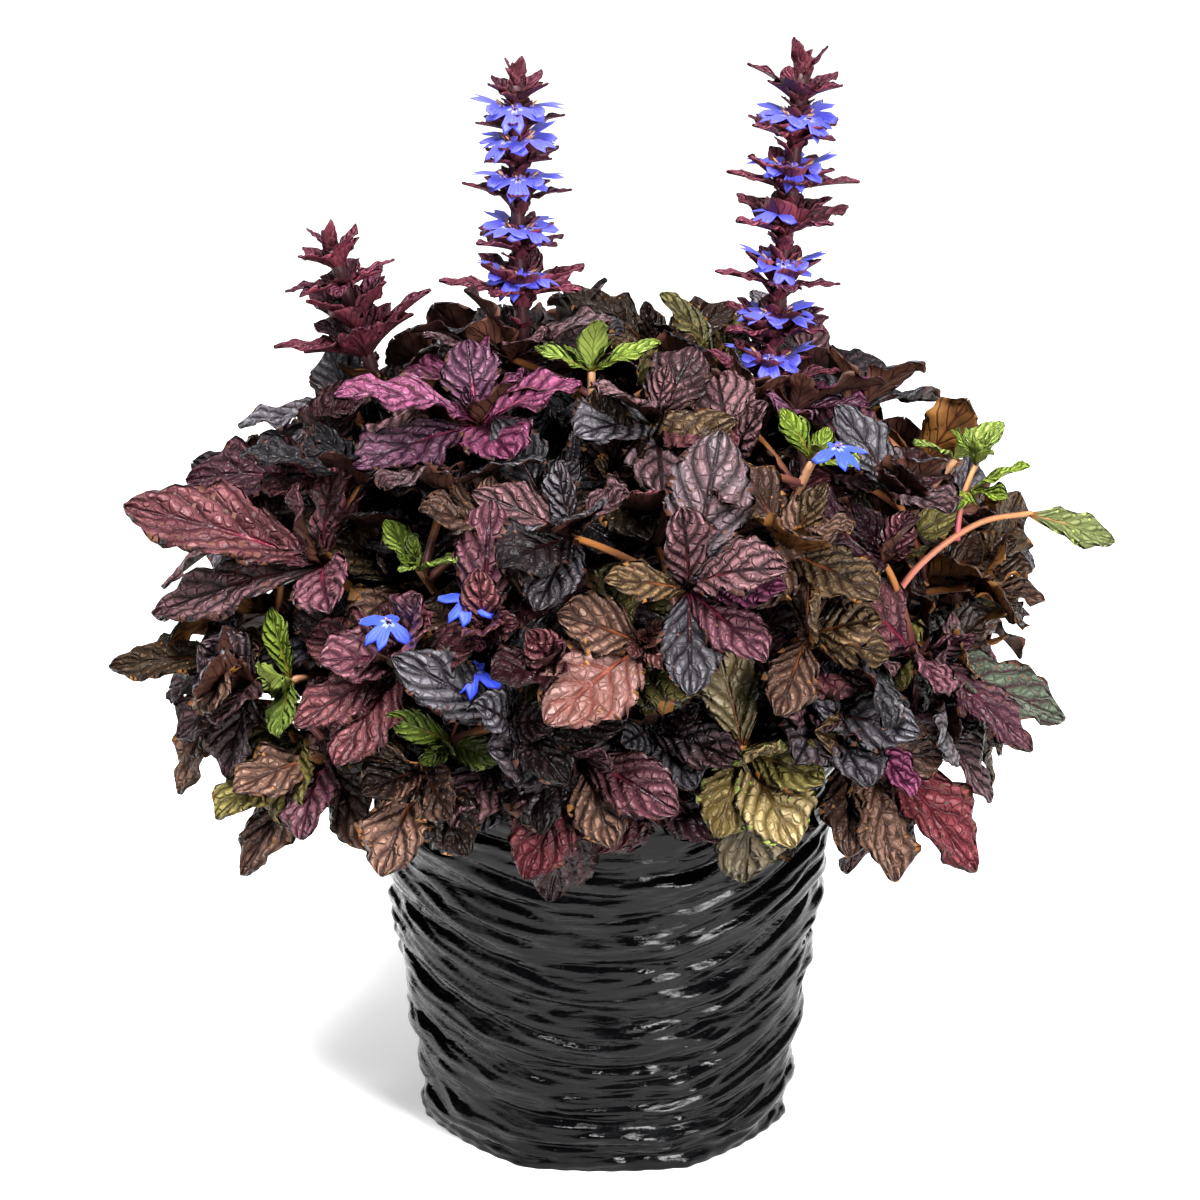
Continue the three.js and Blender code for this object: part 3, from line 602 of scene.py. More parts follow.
def tone_for(share):
    if share < DARK_SHARE:
        return "dark"
    return "bronze" if share < DARK_SHARE + BRONZE_SHARE else "burgundy"


def plan_ruled_crowns():
    number = 0
    for i in range(CROWNS):
        elevation = math.asin(lerp(LOWEST_CROWN, HIGHEST_CROWN, (i + 0.5) / CROWNS))
        depth = CROWN_DEPTH * (1 + draws.spread(UNEVEN_DOME))
        crown = on_dome(elevation, i * GOLDEN_ANGLE, depth)
        tone = tone_for(draws.one())
        turn = draws.one() * math.pi
        if any(np.linalg.norm(plan.crown - crown) < CROWN_SPACING for plan in plans):
            continue
        number += 1
        plan = new_plan(f"{tone}_leafy_stem_{number:02d}", tone, stem_path(crown), STEM_HALF, crown)
        plan.turn = turn


plan_spikes()
plan_placed_crowns()
plan_shoots()
plan_runner()
plan_ruled_crowns()
leafy = [plan for plan in plans if "leafy_stem" in plan.name]
for level in reversed(range(len(PAIRS))):
    for plan in leafy:
        add_pair(plan, level)

SCENE_SEED = 91
scene_draws = Draws(SCENE_SEED)

# Crowns that only the scene has, where the photo shows leaves and the part has few, each on a branch of the
# nearest stem: the tone, the crown, and the tip and the width of each leaf
EXTRA_CROWNS = [
    ("burgundy", at(-64, -96, 196), [
        (-86, -118, 168, 24), (-100, -108, 178, 20), (-40, -122, 210, 20), (-92, -108, 200, 22),
        (-58, -112, 224, 20),
    ]),
    ("bronze", at(-58, -98, 160), [
        (-72, -122, 132, 24), (-44, -124, 140, 21), (-78, -116, 158, 20),
    ]),
    ("dark", at(14, -92, 172), [
        (-31, -114, 172, 18), (44, -116, 168, 18), (20, -120, 188, 20), (-12, -118, 158, 18),
    ]),
    ("dark", at(-34, -95, 163), [
        (-58, -113, 150, 22), (-40, -116, 145, 22), (-20, -117, 150, 20),
    ]),
    ("burgundy", at(14, -94, 158), [
        (18, -117, 147, 20), (0, -118, 138, 20), (36, -114, 141, 20),
    ]),
    ("dark", at(-32, 2, 272), [
        (-48, -6, 298, 20), (2, -8, 288, 20), (-22, -22, 284, 18), (-62, -8, 282, 18),
    ]),
    ("magenta", at(64, -10, 256), [(88, -24, 262, 20), (58, -34, 262, 18)]),
    ("dark", at(46, -12, 254), [(42, -22, 282, 18), (28, -28, 266, 20)]),
    ("bronze", at(58, -92, 232), [(86, -112, 222, 24), (60, -122, 246, 22), (44, -120, 222, 20)]),
    ("dark", at(-10, -96, 238), [(-34, -122, 236, 24), (-4, -122, 254, 22), (-22, -124, 222, 20)]),
    ("dark", at(70, -88, 176), [(84, -116, 160, 24), (60, -120, 170, 22), (96, -102, 176, 22)]),
    ("bronze", at(80, -84, 162), [(94, -106, 124, 24), (78, -110, 134, 22)]),
    ("dark", at(-116, -62, 178), [
        (-142, -68, 160, 24), (-126, -88, 172, 24), (-134, -70, 194, 22), (-124, -80, 150, 22),
    ]),
    ("olive", at(-100, -72, 162), [(-128, -86, 138, 22), (-104, -98, 140, 22)]),
    ("dark", at(96, -46, 236), [(110, -60, 254, 19), (98, -66, 252, 19)]),
    ("bronze", at(122, -40, 204), [(142, -48, 212, 20), (134, -58, 200, 20)]),
]
# Layers of more crowns: how many places are tried, how far apart they stand, how deep in the mound they
# lie, how large their leaves are, how crowded they may be and whether they are the plainer, deep ones
MOST_CROWDED = 0.45
LAYER_LOWEST = -0.04
LAYER_HIGHEST = 0.98
LAYERS = [
    dict(count=150, spacing=23, depth=(0.72, 0.86), size=1.0, crowded=MOST_CROWDED, deep=False),
    dict(count=128, spacing=20, depth=(0.5, 0.68), size=1.1, crowded=0.8, deep=True),
]
EXTRA_PAIRS = [
    dict(length=42, width=23, tilt=84, bend=46),
    dict(length=35, width=20, tilt=60, bend=38),
    dict(length=24, width=14, tilt=36, bend=28),
]
# The tones of these crowns, each with the share of draws up to which it is taken
EXTRA_TONES = [("dark", 0.55), ("bronze", 0.8), ("burgundy", 0.91), ("olive", 1.0)]
BRANCH_HALF = 1.3
BRANCH_LIFT = 0.45
BRANCH_DROP = 8
LEAN_OUT = 1.5
BOX_LOW, BOX_HIGH = (np.array(corner) / MM for corner in cad_box)


def inside_box(points):
    return bool(np.all(points > BOX_LOW) and np.all(points < BOX_HIGH))


# The share of the points that lie in the space of another stem's leaves
def crowding(points, own):
    taken = sum(1 for c in cells_of(points) if claims.get(tuple(c), own) - own)
    return taken / len(points)


# The stem that carries a crown, and where the branch leaves it: the nearest point above the rim
def carrier_of(crown):
    best = None
    for plan in plans:
        if "spike" in plan.name or plan.name == RUNNER_NAME:
            continue
        height = plan.samples[:, 2]
        lower = plan.samples[(height < crown[2] - BRANCH_DROP) & (height > RIM_HEIGHT)]
        if len(lower) == 0:
            continue
        far = np.linalg.norm(lower - crown, axis=1)
        i = int(np.argmin(far))
        if best is None or far[i] < best[0]:
            best = (float(far[i]), plan, lower[i])
    return best[1], best[2]


def extra_tone(source):
    share = source.one()
    return next(tone for tone, up_to in EXTRA_TONES if share <= up_to)


LOOSE_FLOWERS = [
    at(-73, -112, 214), at(-46, -118, 224), at(-84, -108, 186), at(-44, -124, 202), at(78, -84, 264),
]
TUFT = at(122, -46, 248)

# What the photo shows in front stays in sight: leaves keep off the line from each such place to the viewer
VIEW_BACK = at(0, -math.cos(CAMERA_ELEVATION), math.sin(CAMERA_ELEVATION))
SHOWN_TONES = ("green", "copper", "gold")
SHOWN_SHARES = (0.4, 0.8)
SHOWN_NEAR = 7
SHOWN_BEHIND = 2
EXTRA_TOP = 288


def shown_places():
    places = list(LOOSE_FLOWERS) + [TUFT]
    for plan in plans:
        if plan.name == RUNNER_NAME:
            places += [point for point in plan.path.points(24) if point[2] > RUNNER_PATH[0][2]]
        places += [flower.tip for flower in plan.flowers]
        if plan.tone in SHOWN_TONES:
            for blade in plan.blades:
                places += [on_blade(blade, np.float64(u), np.float64(0)) for u in SHOWN_SHARES]
            places += [plan.crown]
    return np.array(places)


def hides_shown(points):
    away = points[:, None, :] - shown[None, :, :]
    along = away @ VIEW_BACK
    off = np.linalg.norm(away - along[..., None] * VIEW_BACK, axis=2)
    return bool(np.any((along > SHOWN_BEHIND) & (off < SHOWN_NEAR)))


def add_extra_leaf(plan, blade, tone, crowded, force=False):
    framed(blade)
    blade.tone = tone
    rest = blade_samples(blade)[1]
    if in_pot(rest) or not inside_box(rest):
        return False
    own = {plan.name, plan.name + " blades"}
    if not force and (crowding(rest, own) > crowded or hides_shown(rest) or blade.tip[2] > EXTRA_TOP):
        return False
    claim(plan.name + " blades", rest)
    plan.blades.append(blade)
    return True


def extra_crown(crown, tone, deep=False):
    plan, root = carrier_of(crown)
    bend = lerp(root, crown, 0.5) + at(0, 0, BRANCH_LIFT * (crown[2] - root[2]) / 2)
    path = Bezier(root, bend, crown)
    plan.branches.append((path, tone, deep))
    extra_crowns.append(crown)
    return plan, path


def plan_extra_crowns():
    for tone, crown, leaves in EXTRA_CROWNS:
        plan, path = extra_crown(crown, tone)
        for leaf in leaves:
            add_extra_leaf(plan, placed_leaf(crown, leaf, scene_draws), tone, MOST_CROWDED, True)
        add_extra_pairs(plan, path, crown, EXTRA_PAIRS[1:], tone, 1.0, MOST_CROWDED)
    for number, layer in enumerate(LAYERS):
        for i in range(layer["count"]):
            elevation = math.asin(lerp(LAYER_LOWEST, LAYER_HIGHEST, (i + 0.5) / layer["count"]))
            depth = lerp(*layer["depth"], scene_draws.one())
            tone = extra_tone(scene_draws)
            crown = on_dome(elevation, 1 + number + i * GOLDEN_ANGLE, depth)
            near = [plan.crown for plan in plans] + extra_crowns
            if min(float(np.linalg.norm(other - crown)) for other in near) < layer["spacing"]:
                continue
            plan, path = extra_crown(crown, tone, layer["deep"])
            first = len(plan.blades)
            add_extra_pairs(plan, path, crown, EXTRA_PAIRS, tone, layer["size"], layer["crowded"])
            for blade in plan.blades[first:]:
                blade.deep = layer["deep"]


def add_extra_pairs(plan, path, crown, pairs, tone, size, crowded):
    axis = unit(path.tangent(1) + LEAN_OUT * outward(crown))
    first = scene_draws.one() * math.pi
    take = partial(add_extra_leaf, plan, tone=tone, crowded=crowded)
    for level, pair in enumerate(pairs):
        for turn in pair_turns(first, level, scene_draws):
            add_ruled_leaf(crown, axis, turn, pair, scene_draws, take, size)


# A young stem rises from the runner to a bright green tuft, with broader leaves under it. The length, width
# and tilt of each round of leaves, and the tip and width of each broad leaf
TUFT_FOOT = at(116, -52, 224)
TUFT_BULGE = at(-3, 0, 0)
TUFT_LEAN = at(0.1, -0.2, 1)
TUFT_LEAVES = [(15, 6, 38), (13, 5.5, 24), (10, 4.5, 12)]
TUFT_TURN = 1.05
TUFT_ROUND = 3
TUFT_STRAY = dict(turn=0.3, tilt=8)
TUFT_BROAD = [(139, -58, 251, 13), (112, -64, 238, 12), (131, -60, 240, 11)]
TUFT_BROAD_FROM = at(120, -48, 240)
# The runner's own leaf turns a little to the front
RUNNER_FACE = at(0, -0.6, 1)


def plan_tuft():
    plan = next(plan for plan in plans if plan.name == RUNNER_NAME)
    plan.tuft = Bezier(TUFT_FOOT, lerp(TUFT_FOOT, TUFT, 0.5) + TUFT_BULGE, TUFT)
    plan.blades[0].face = RUNNER_FACE
    framed(plan.blades[0])
    axis = unit(TUFT_LEAN)
    for level, (length, width, tilt) in enumerate(TUFT_LEAVES):
        for side in range(TUFT_ROUND):
            turn = level * TUFT_TURN + side * math.tau / TUFT_ROUND + scene_draws.spread(TUFT_STRAY["turn"])
            leaning = math.radians(tilt + scene_draws.spread(TUFT_STRAY["tilt"]))
            leaf = leaning_leaf(TUFT, axis, turn, leaning, length, width, scene_draws)
            plan.blades.append(framed(leaf))
    for leaf in TUFT_BROAD:
        broad = placed_leaf(TUFT_BROAD_FROM, leaf, scene_draws)
        broad.face = UP + FACE_FORWARD
        plan.blades.append(framed(broad))


# Each loose flower low in the leaves faces out and up, on a short stalk from the nearest stem
LOOSE_FACE = at(0.1, -0.35, 1)
LOOSE_SPREAD = 0.4
LOOSE_FORWARD = -70
LOOSE_UP = 30
STALK_HALF = 0.5
STALK_ARCH = at(0, 0, 4)


def plan_loose_flowers():
    for tip in LOOSE_FLOWERS:
        plan, root = carrier_of(tip)
        out = unit(at(tip[0] * LOOSE_SPREAD, LOOSE_FORWARD, LOOSE_UP))
        flower = SimpleNamespace(base=tip - out * FLOWER, tip=tip, face=unit(LOOSE_FACE), root=root)
        plan.loose.append(flower)


extra_crowns = []
shown = shown_places()
plan_extra_crowns()
plan_tuft()
plan_loose_flowers()


# How far out in the light each point is, from 0 deep inside the mound to 1 at its surface, by which the
# leaf materials paint shade on leaves deep in the mound
LIGHT_FROM = 0.6
LIGHT_TO = 1.0


def out_in_light(points):
    away = points - MOUND_CENTRE
    level = np.hypot(away[:, 0], away[:, 1]) / MOUND_HALF_WIDTH
    height = np.abs(away[:, 2]) / MOUND_RISE
    reach = (level ** MOUND_POWER + height ** MOUND_POWER) ** (1 / MOUND_POWER)
    share = np.clip((reach - LIGHT_FROM) / (LIGHT_TO - LIGHT_FROM), 0, 1)
    return share * share * (3 - 2 * share)


# Meshes: grids of points gathered into one piece, with each leaf's place along and across in the UV map
# and its own numbers in the colour attribute, the third of which is how far out in the light each point is,
# for the painted shade deep in the mound
class Shape:
    def __init__(self):
        self.points, self.quads, self.uvs, self.tints, self.kinds = [], [], [], [], []
        self.materials = []
        self.count = 0

    def add(self, points, quads, uv, tint, kinds):
        points = points.reshape(-1, 3)
        self.points.append(points)
        self.quads.append(quads + self.count)
        self.uvs.append(uv.reshape(-1, 2))
        tints = np.tile(tint, (len(points), 1))
        # The third number is how far out in the light the point is, which sets the painted shade deep in the
        # mound
        tints[:, 2] = out_in_light(points)
        self.tints.append(tints)
        self.kinds.append(np.broadcast_to(kinds, len(quads)))
        self.count += len(points)

    # The number of a material in this piece, which is added when it is first asked for
    def kind(self, material):
        if material not in self.materials:
            self.materials.append(material)
        return self.materials.index(material)

    def piece(self, name, slot, *nodes):
        points = np.concatenate(self.points) * MM
        quads = np.concatenate(self.quads)
        mesh = bpy.data.meshes.new(name)
        mesh.vertices.add(len(points))
        mesh.vertices.foreach_set("co", points.ravel())
        mesh.loops.add(quads.size)
        mesh.loops.foreach_set("vertex_index", quads.ravel())
        mesh.polygons.add(len(quads))
        mesh.polygons.foreach_set("loop_start", np.arange(len(quads)) * 4)
        for material in self.materials:
            mesh.materials.append(material)
        mesh.polygons.foreach_set("material_index", np.concatenate(self.kinds).astype(np.int32))
        mesh.polygons.foreach_set("use_smooth", np.ones(len(quads), bool))
        mesh.update(calc_edges=True)
        uv = mesh.uv_layers.new(name="place")
        uv.data.foreach_set("uv", np.concatenate(self.uvs)[quads.ravel()].ravel())
        own = mesh.color_attributes.new("own", "FLOAT_COLOR", "POINT")
        own.data.foreach_set("color", np.concatenate(self.tints).ravel())
        mesh.validate()
        made = bpy.data.objects.new(name, mesh)
        bpy.context.scene.collection.objects.link(made)
        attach(made, "root")
        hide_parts(*nodes)
        return made


# Quads of a grid of point numbers, facing the side from which rows run right and columns up
def grid_quads(numbers):
    corners = (numbers[:-1, :-1], numbers[:-1, 1:], numbers[1:, 1:], numbers[1:, :-1])
    return np.stack([c.ravel() for c in corners], axis=1)


# The same for rings, one over another, that close on themselves
def ring_quads(rings, turns):
    numbers = np.arange(rings * turns).reshape(rings, turns)
    return grid_quads(np.concatenate([numbers, numbers[:, :1]], axis=1))


def add_rings(shape, rows, material, outside_in=False):
    points = np.array(rows)
    quads = ring_quads(*points.shape[:2])
    uv = np.zeros(points.shape[:2] + (2,))
    shape.add(points, quads[:, ::-1] if outside_in else quads, uv, own_tint(), shape.kind(material))


# A closed thin sheet: an upper and a lower grid that share their rim
def add_sheet(shape, upper, lower, uv, tint, kinds):
    rows, columns = upper.shape[0] - 1, upper.shape[1] - 1
    top = np.arange((rows + 1) * (columns + 1)).reshape(rows + 1, columns + 1)
    bottom = top.copy()
    bottom[1:-1, 1:-1] = np.arange((rows - 1) * (columns - 1)).reshape(rows - 1, columns - 1) + top.size
    points = np.concatenate([upper.reshape(-1, 3), lower[1:-1, 1:-1].reshape(-1, 3)])
    places = np.concatenate([uv.reshape(-1, 2), uv[1:-1, 1:-1].reshape(-1, 2)])
    quads = np.concatenate([grid_quads(top), grid_quads(bottom)[:, ::-1]])
    kinds = np.repeat(kinds, rows * columns)
    shape.add(points, quads, places, tint, kinds)


# Leaves: pillows between side veins that run forward to a round-toothed, ruffled edge
VEINS = 5.4
VEIN_SLANT = 0.4
VEIN_BOW = 0.3
PILLOW = 0.036
PILLOW_POWER = 0.8
PILLOW_CELLS = 2.2
PILLOW_DIP = 0.2
BESIDE_RIB = 0.16
BESIDE_EDGE = 0.2
MIDRIB = 0.014
MIDRIB_SHARE = 0.09
MIDRIB_END = 1.1
TOOTH = 5.2
FEWEST_TEETH = 4
MOST_TEETH = 9
TOOTH_DEPTH = 0.09
TOOTH_POWER = 0.6
TOOTH_LEVEL = 0.6
PLAIN_UP_TO = 0.1
TEETH_FADE_IN = 0.2
TOOTH_ROWS = 3
DEEP_TOOTH_ROWS = 2
DEEP_COLUMNS = 4
RUFFLE = 0.1
LEAF_THICK = 0.5
TIP_CROWD = 1.3
TIP_SHARE = 0.996
COLUMNS = {"large": 8, "middle": 8, "small": 4}
LARGE_LEAF = 40
SMALL_LEAF = 22


def add_leaf(shape, blade, tint, upper_kind, under_kind, crinkle=1.0, teeth=1.0):
    size = "large" if blade.length > LARGE_LEAF else "middle" if blade.length > SMALL_LEAF else "small"
    count = max(FEWEST_TEETH, min(MOST_TEETH, round(blade.length / TOOTH)))
    rows, columns = count * TOOTH_ROWS, COLUMNS[size]
    if getattr(blade, "deep", False):
        rows, columns = count * DEEP_TOOTH_ROWS, DEEP_COLUMNS
    share = np.linspace(0, 1, rows + 1)[:, None]
    v = np.linspace(-1, 1, columns + 1)[None, :] * np.ones_like(share)
    share = share * np.ones_like(v)
    u = (1 - (1 - share) ** TIP_CROWD) * TIP_SHARE
    side = np.abs(v)
    blunt = np.clip((u - PLAIN_UP_TO) / TEETH_FADE_IN, 0, 1)
    tooth = np.abs(np.sin(math.pi * count * share)) ** TOOTH_POWER - TOOTH_LEVEL
    half = half_width(blade, np.maximum(u, 1e-6)) * (1 + teeth * TOOTH_DEPTH * tooth * blunt * side ** 3)
    w = VEINS * (u - VEIN_SLANT * side * (1 - VEIN_BOW + VEIN_BOW * side))
    ridge = np.abs(np.sin(math.pi * w)) ** PILLOW_POWER
    from_rib = 1 - np.exp(-((side / BESIDE_RIB) ** 2))
    from_edge = np.clip((1 - side) / BESIDE_EDGE, 0, 1) ** 0.5
    dips = np.abs(np.sin(math.pi * (PILLOW_CELLS * side + 0.5 * np.floor(w)))) ** PILLOW_POWER
    cells = 1 - PILLOW_DIP + PILLOW_DIP * dips
    pillow = PILLOW * crinkle * blade.length * ridge * from_rib * from_edge * blunt * cells
    rib = MIDRIB * blade.length * np.exp(-((side / MIDRIB_SHARE) ** 2)) * np.clip(MIDRIB_END - u, 0, 1)
    ruffle = RUFFLE * half * side ** 3 * np.sin(math.pi * count * share + blade.phase * 2) * np.sign(v)
    lift = pillow - rib + ruffle * blunt
    thick = LEAF_THICK / 2 * np.ones_like(u)
    thick[:, [0, -1]] = 0
    thick[[0, -1], :] = 0
    upper = on_blade(blade, u, v, lift + thick, half)
    lower = on_blade(blade, u, v, lift - thick, half)
    uv = np.stack([u, (v + 1) / 2], axis=-1)
    add_sheet(shape, upper, lower, uv, tint, (upper_kind, under_kind))


# Tubes: stems, runners, throats, calyxes and stamens
def path_frames(points):
    tangents = np.gradient(points, axis=0)
    tangents /= np.linalg.norm(tangents, axis=1)[:, None]
    across = unit(np.cross(tangents[0], at(0.31, 0.95, 0.1)))
    sides = []
    for tangent in tangents:
        across = unit(across - tangent * float(across @ tangent))
        sides.append((across, np.cross(tangent, across)))
    return sides


def add_tube(shape, points, radii, tint, kind, sides=8, squareness=0.0):
    angles = np.arange(sides + 1) / sides * 2 * math.pi
    swell = 1 + squareness * np.cos(4 * angles)
    rings = []
    for point, radius, (a, b) in zip(points, radii, path_frames(points)):
        r = radius * swell
        rings.append(point + (r * np.cos(angles))[:, None] * a + (r * np.sin(angles))[:, None] * b)
    rings = np.array(rings)
    along = np.linspace(0, 1, len(points))[:, None] * np.ones((1, sides))
    around = np.ones((len(points), 1)) * (np.arange(sides) / sides)[None, :]
    quads = ring_quads(len(points), sides)[:, ::-1]
    shape.add(rings[:, :-1], quads, np.stack([along, around], axis=-1), tint, kind)


CLOSED = 0.02


def closed_radii(radii):
    radii = np.array(radii, float)
    radii[[0, -1]] = CLOSED
    return radii


STEM_STEP = 3.0
FEWEST_STEPS = 6
STEM_SQUARE = 0.1
STEM_SWELL = 1.12
# How far each end cap stands out, as a share of a step
FOOT_CAP = 0.02
END_CAP = 0.05


def add_stem(shape, path, half, tint, kind, taper=1.0):
    count = max(FEWEST_STEPS, math.ceil(path.length() / STEM_STEP))
    points = path.points(count)
    start = points[:1] - (points[1:2] - points[:1]) * FOOT_CAP
    end = points[-1:] + (points[-1:] - points[-2:-1]) * END_CAP
    radii = np.concatenate([[CLOSED], half * STEM_SWELL * np.linspace(1, taper, count + 1), [CLOSED]])
    add_tube(shape, np.concatenate([start, points, end]), radii, tint, kind, 8, STEM_SQUARE)


# A crown's youngest leaves, round its growing point
YOUNG = [(13, 6.5, 40), (10, 5, 22), (7, 3.5, 10)]
YOUNG_STRAY = 6


def add_young_leaves(shape, crown, axis, tone):
    first = scene_draws.one() * math.pi
    for level, (length, width, tilt) in enumerate(YOUNG):
        for side in range(2):
            turn = first + level * math.pi / 2 + side * math.pi
            leaning = math.radians(tilt + scene_draws.spread(YOUNG_STRAY))
            blade = framed(leaning_leaf(crown, axis, turn, leaning, length, width, scene_draws))
            add_toned_leaf(shape, blade, tone, young=0.9, crinkle=0.8)


# A leaf in the two materials of its tone
def add_toned_leaf(shape, blade, tone, young=0.0, crinkle=1.0, least=0.0):
    upper, under = shape.kind(TONES[tone]), shape.kind(UNDERSIDES[UNDER_OF.get(tone, "dark")])
    tint = own_tint(young)
    tint[0] = lerp(least, 1, tint[0])
    add_leaf(shape, blade, tint, upper, under, crinkle)


# The numbers of one leaf: light or dark, its mix of two tones, how far out in the light it is, which each
# point later gets for the painted shade, and how young it is
def own_tint(young=0.0):
    return np.array([scene_draws.one(), scene_draws.one(), 0, young])


# Flowers: a throat, a lower lip of two side lobes and a notched middle lobe, and a small upper lip, all in
# shares of the flower's length. The lip of a flower that looks to the front hangs by this much
LIP_ROWS = 6
LIP_COLUMNS = 26
LIP_HANG = math.radians(52)
LIP_STRAY = 0.6
LIP_FROM = 0.12
LIP_LEAST = 0.17
LIP_CURL = 0.35
LIP_RIPPLE = 0.03
LIP_HEIGHT = 0.12
# The middle, side and upper lobes: how far each reaches, the angle where it stands, its half angle and how
# square it is
LOBES = [(0.6, 0, 0.6, 4), (0.52, 1.3, 0.42, 4), (0.1, 2.7, 0.4, 2)]
NOTCH_DEPTH = 0.4
NOTCH_HALF = 0.14
PETAL_THICK = 0.3
THROAT_STEPS = 6
THROAT_REACH = 0.46
THROAT_RISE = 0.1
THROAT_FOOT = 0.07
THROAT_MOUTH = 0.15
THROAT_INSIDE = 0.12
STAMEN_STEPS = 5
STAMEN_RADII = [0.2, 0.2, 0.2, 0.4, 0.3]


def flower_frame(flower):
    out = flower.tip - flower.base
    size = float(np.linalg.norm(out))
    out = out / size
    up = unit(flower.face - out * float(flower.face @ out))
    return out, up, np.cross(up, out), size


def lip_reach(angle):
    notch = 1 - NOTCH_DEPTH * np.exp(-((angle / NOTCH_HALF) ** 2))
    middle, sides, back = (
        reach * np.exp(-(np.abs((np.abs(angle) - place) / half) ** power))
        for reach, place, half, power in LOBES
    )
    return LIP_LEAST + middle * notch + sides + back


def add_flower(shape, flower, material):
    out, up, side, size = flower_frame(flower)

    def place(x, y, z):
        return flower.base + size * (x[..., None] * out + y[..., None] * side + z[..., None] * up)

    tint = own_tint()
    share = np.linspace(0, 1, THROAT_STEPS)
    throat = place(share * THROAT_REACH, 0 * share, THROAT_RISE * share ** 2)
    radii = closed_radii(size * lerp(THROAT_FOOT, THROAT_MOUTH, share ** 1.5))
    radii[-1] = size * THROAT_INSIDE
    add_tube(shape, throat, radii, tint, shape.kind(THROATS), 8)
    angles = np.linspace(-math.pi, math.pi, LIP_COLUMNS + 1)
    angle, far = np.meshgrid(angles, np.linspace(LIP_FROM, 1, LIP_ROWS + 1))
    reach = lip_reach(angle) * far
    hang = LIP_HANG * max(0.0, -float(out[1])) + LIP_STRAY * (tint[1] - 0.5)
    forward, across = reach * np.cos(angle), reach * np.sin(angle)
    curl = LIP_CURL * reach ** 2 + LIP_RIPPLE * np.sin(5 * angle + 6 * tint[0]) * far ** 2
    thick = np.full_like(reach, PETAL_THICK / size / 2)
    thick[-1, :] = 0
    layers = []
    for lift in (thick, -thick):
        x = THROAT_REACH + forward * math.cos(hang) + (lift - curl) * math.sin(hang)
        z = LIP_HEIGHT - forward * math.sin(hang) + (lift - curl) * math.cos(hang)
        layers.append(place(x, across, z))
    uv = np.stack([far, (angle + math.pi) / (2 * math.pi)], axis=-1)
    petals = shape.kind(material)
    add_sheet(shape, *layers, uv, tint, (petals, petals))
    for turn in (-0.25, 0.25):
        reach = np.linspace(0.35, 0.78, STAMEN_STEPS)
        stamen = place(reach * 0.8, turn * reach * 0.3, LIP_HEIGHT + THROAT_RISE * reach ** 2)
        add_tube(shape, stamen, closed_radii(STAMEN_RADII), tint, shape.kind(STAMENS), 6)


# A calyx and its teeth, in shares of its length: how high and how far out each tooth starts and ends
CALYX_TEETH = 5
CALYX_RADII = [0.12, 0.26, 0.32, 0.33, 0.3, 0.2]
CALYX_TOOTH_FROM = (0.5, 0.22)
CALYX_TOOTH_TO = (1.25, 0.42)
CALYX_TOOTH_WIDTH = 0.3


def add_calyx(shape, base, axis, length):
    tint = own_tint()
    kind = shape.kind(CALYX)
    share = np.linspace(0, 1, len(CALYX_RADII))
    points = base + share[:, None] * axis * length
    add_tube(shape, points, closed_radii(length * np.array(CALYX_RADII)), tint, kind, 10)
    across, other = path_frames(points)[0]
    for i in range(CALYX_TEETH):
        turn = i / CALYX_TEETH * 2 * math.pi
        radial = across * math.cos(turn) + other * math.sin(turn)
        tooth = leaf_shape(length, scene_draws)
        tooth.widest = BRACT_WIDEST
        start, tip = (
            base + axis * length * high + radial * length * out
            for high, out in (CALYX_TOOTH_FROM, CALYX_TOOTH_TO)
        )
        blade = framed(leaf_between(tooth, start, tip, axis - radial, length * CALYX_TOOTH_WIDTH))
        add_leaf(shape, blade, tint, kind, kind, 0.2, 0)


# More bracts stand inside each whorl, with the calyxes and buds of flowers still to open
INNER_BRACTS = 5
INNER_SHARE = 0.8
INNER_WIDTH = 0.55
INNER_TILT = 50
INNER_RISE = 8
LEAST_TILT = 8
INNER_BELOW = 2
INNER_CUP = 0.5
INNER_STRAY = dict(turn=0.25, length=0.12, tilt=8)
INNER_TURNED = 0.35
BUDS = 4
BUD_TILT = 40
BUD_STRAY = dict(turn=0.4, tilt=10)
BUD_ABOVE = 2
BUD_LENGTH = 6
# On a flowering spike small bracts also stand below the first whorl and between one whorl and the next
BETWEEN = [0.3, 0.62]
BETWEEN_BRACTS = 4
BETWEEN_LENGTH = 9.5
BETWEEN_TILT = 40
BETWEEN_STRAY = dict(turn=0.4, tilt=12, length=0.25)
LEAST_BETWEEN = 8
BELOW_FIRST = 18


def add_between(shape, neck, rise, low, high):
    axis = unit(rise)
    for level in BETWEEN:
        spot = neck + rise * ((lerp(low, high, level) - neck[2]) / rise[2])
        for i in range(BETWEEN_BRACTS):
            turn = (i + 2 * level) / BETWEEN_BRACTS * 2 * math.pi + scene_draws.spread(BETWEEN_STRAY["turn"])
            leaning = math.radians(BETWEEN_TILT + scene_draws.spread(BETWEEN_STRAY["tilt"]))
            length = BETWEEN_LENGTH * (1 + scene_draws.spread(BETWEEN_STRAY["length"]))
            bract = leaning_bract(spot, axis, turn, leaning, length, length * INNER_WIDTH, scene_draws)
            add_toned_leaf(shape, framed(bract), "spike", crinkle=0.4)


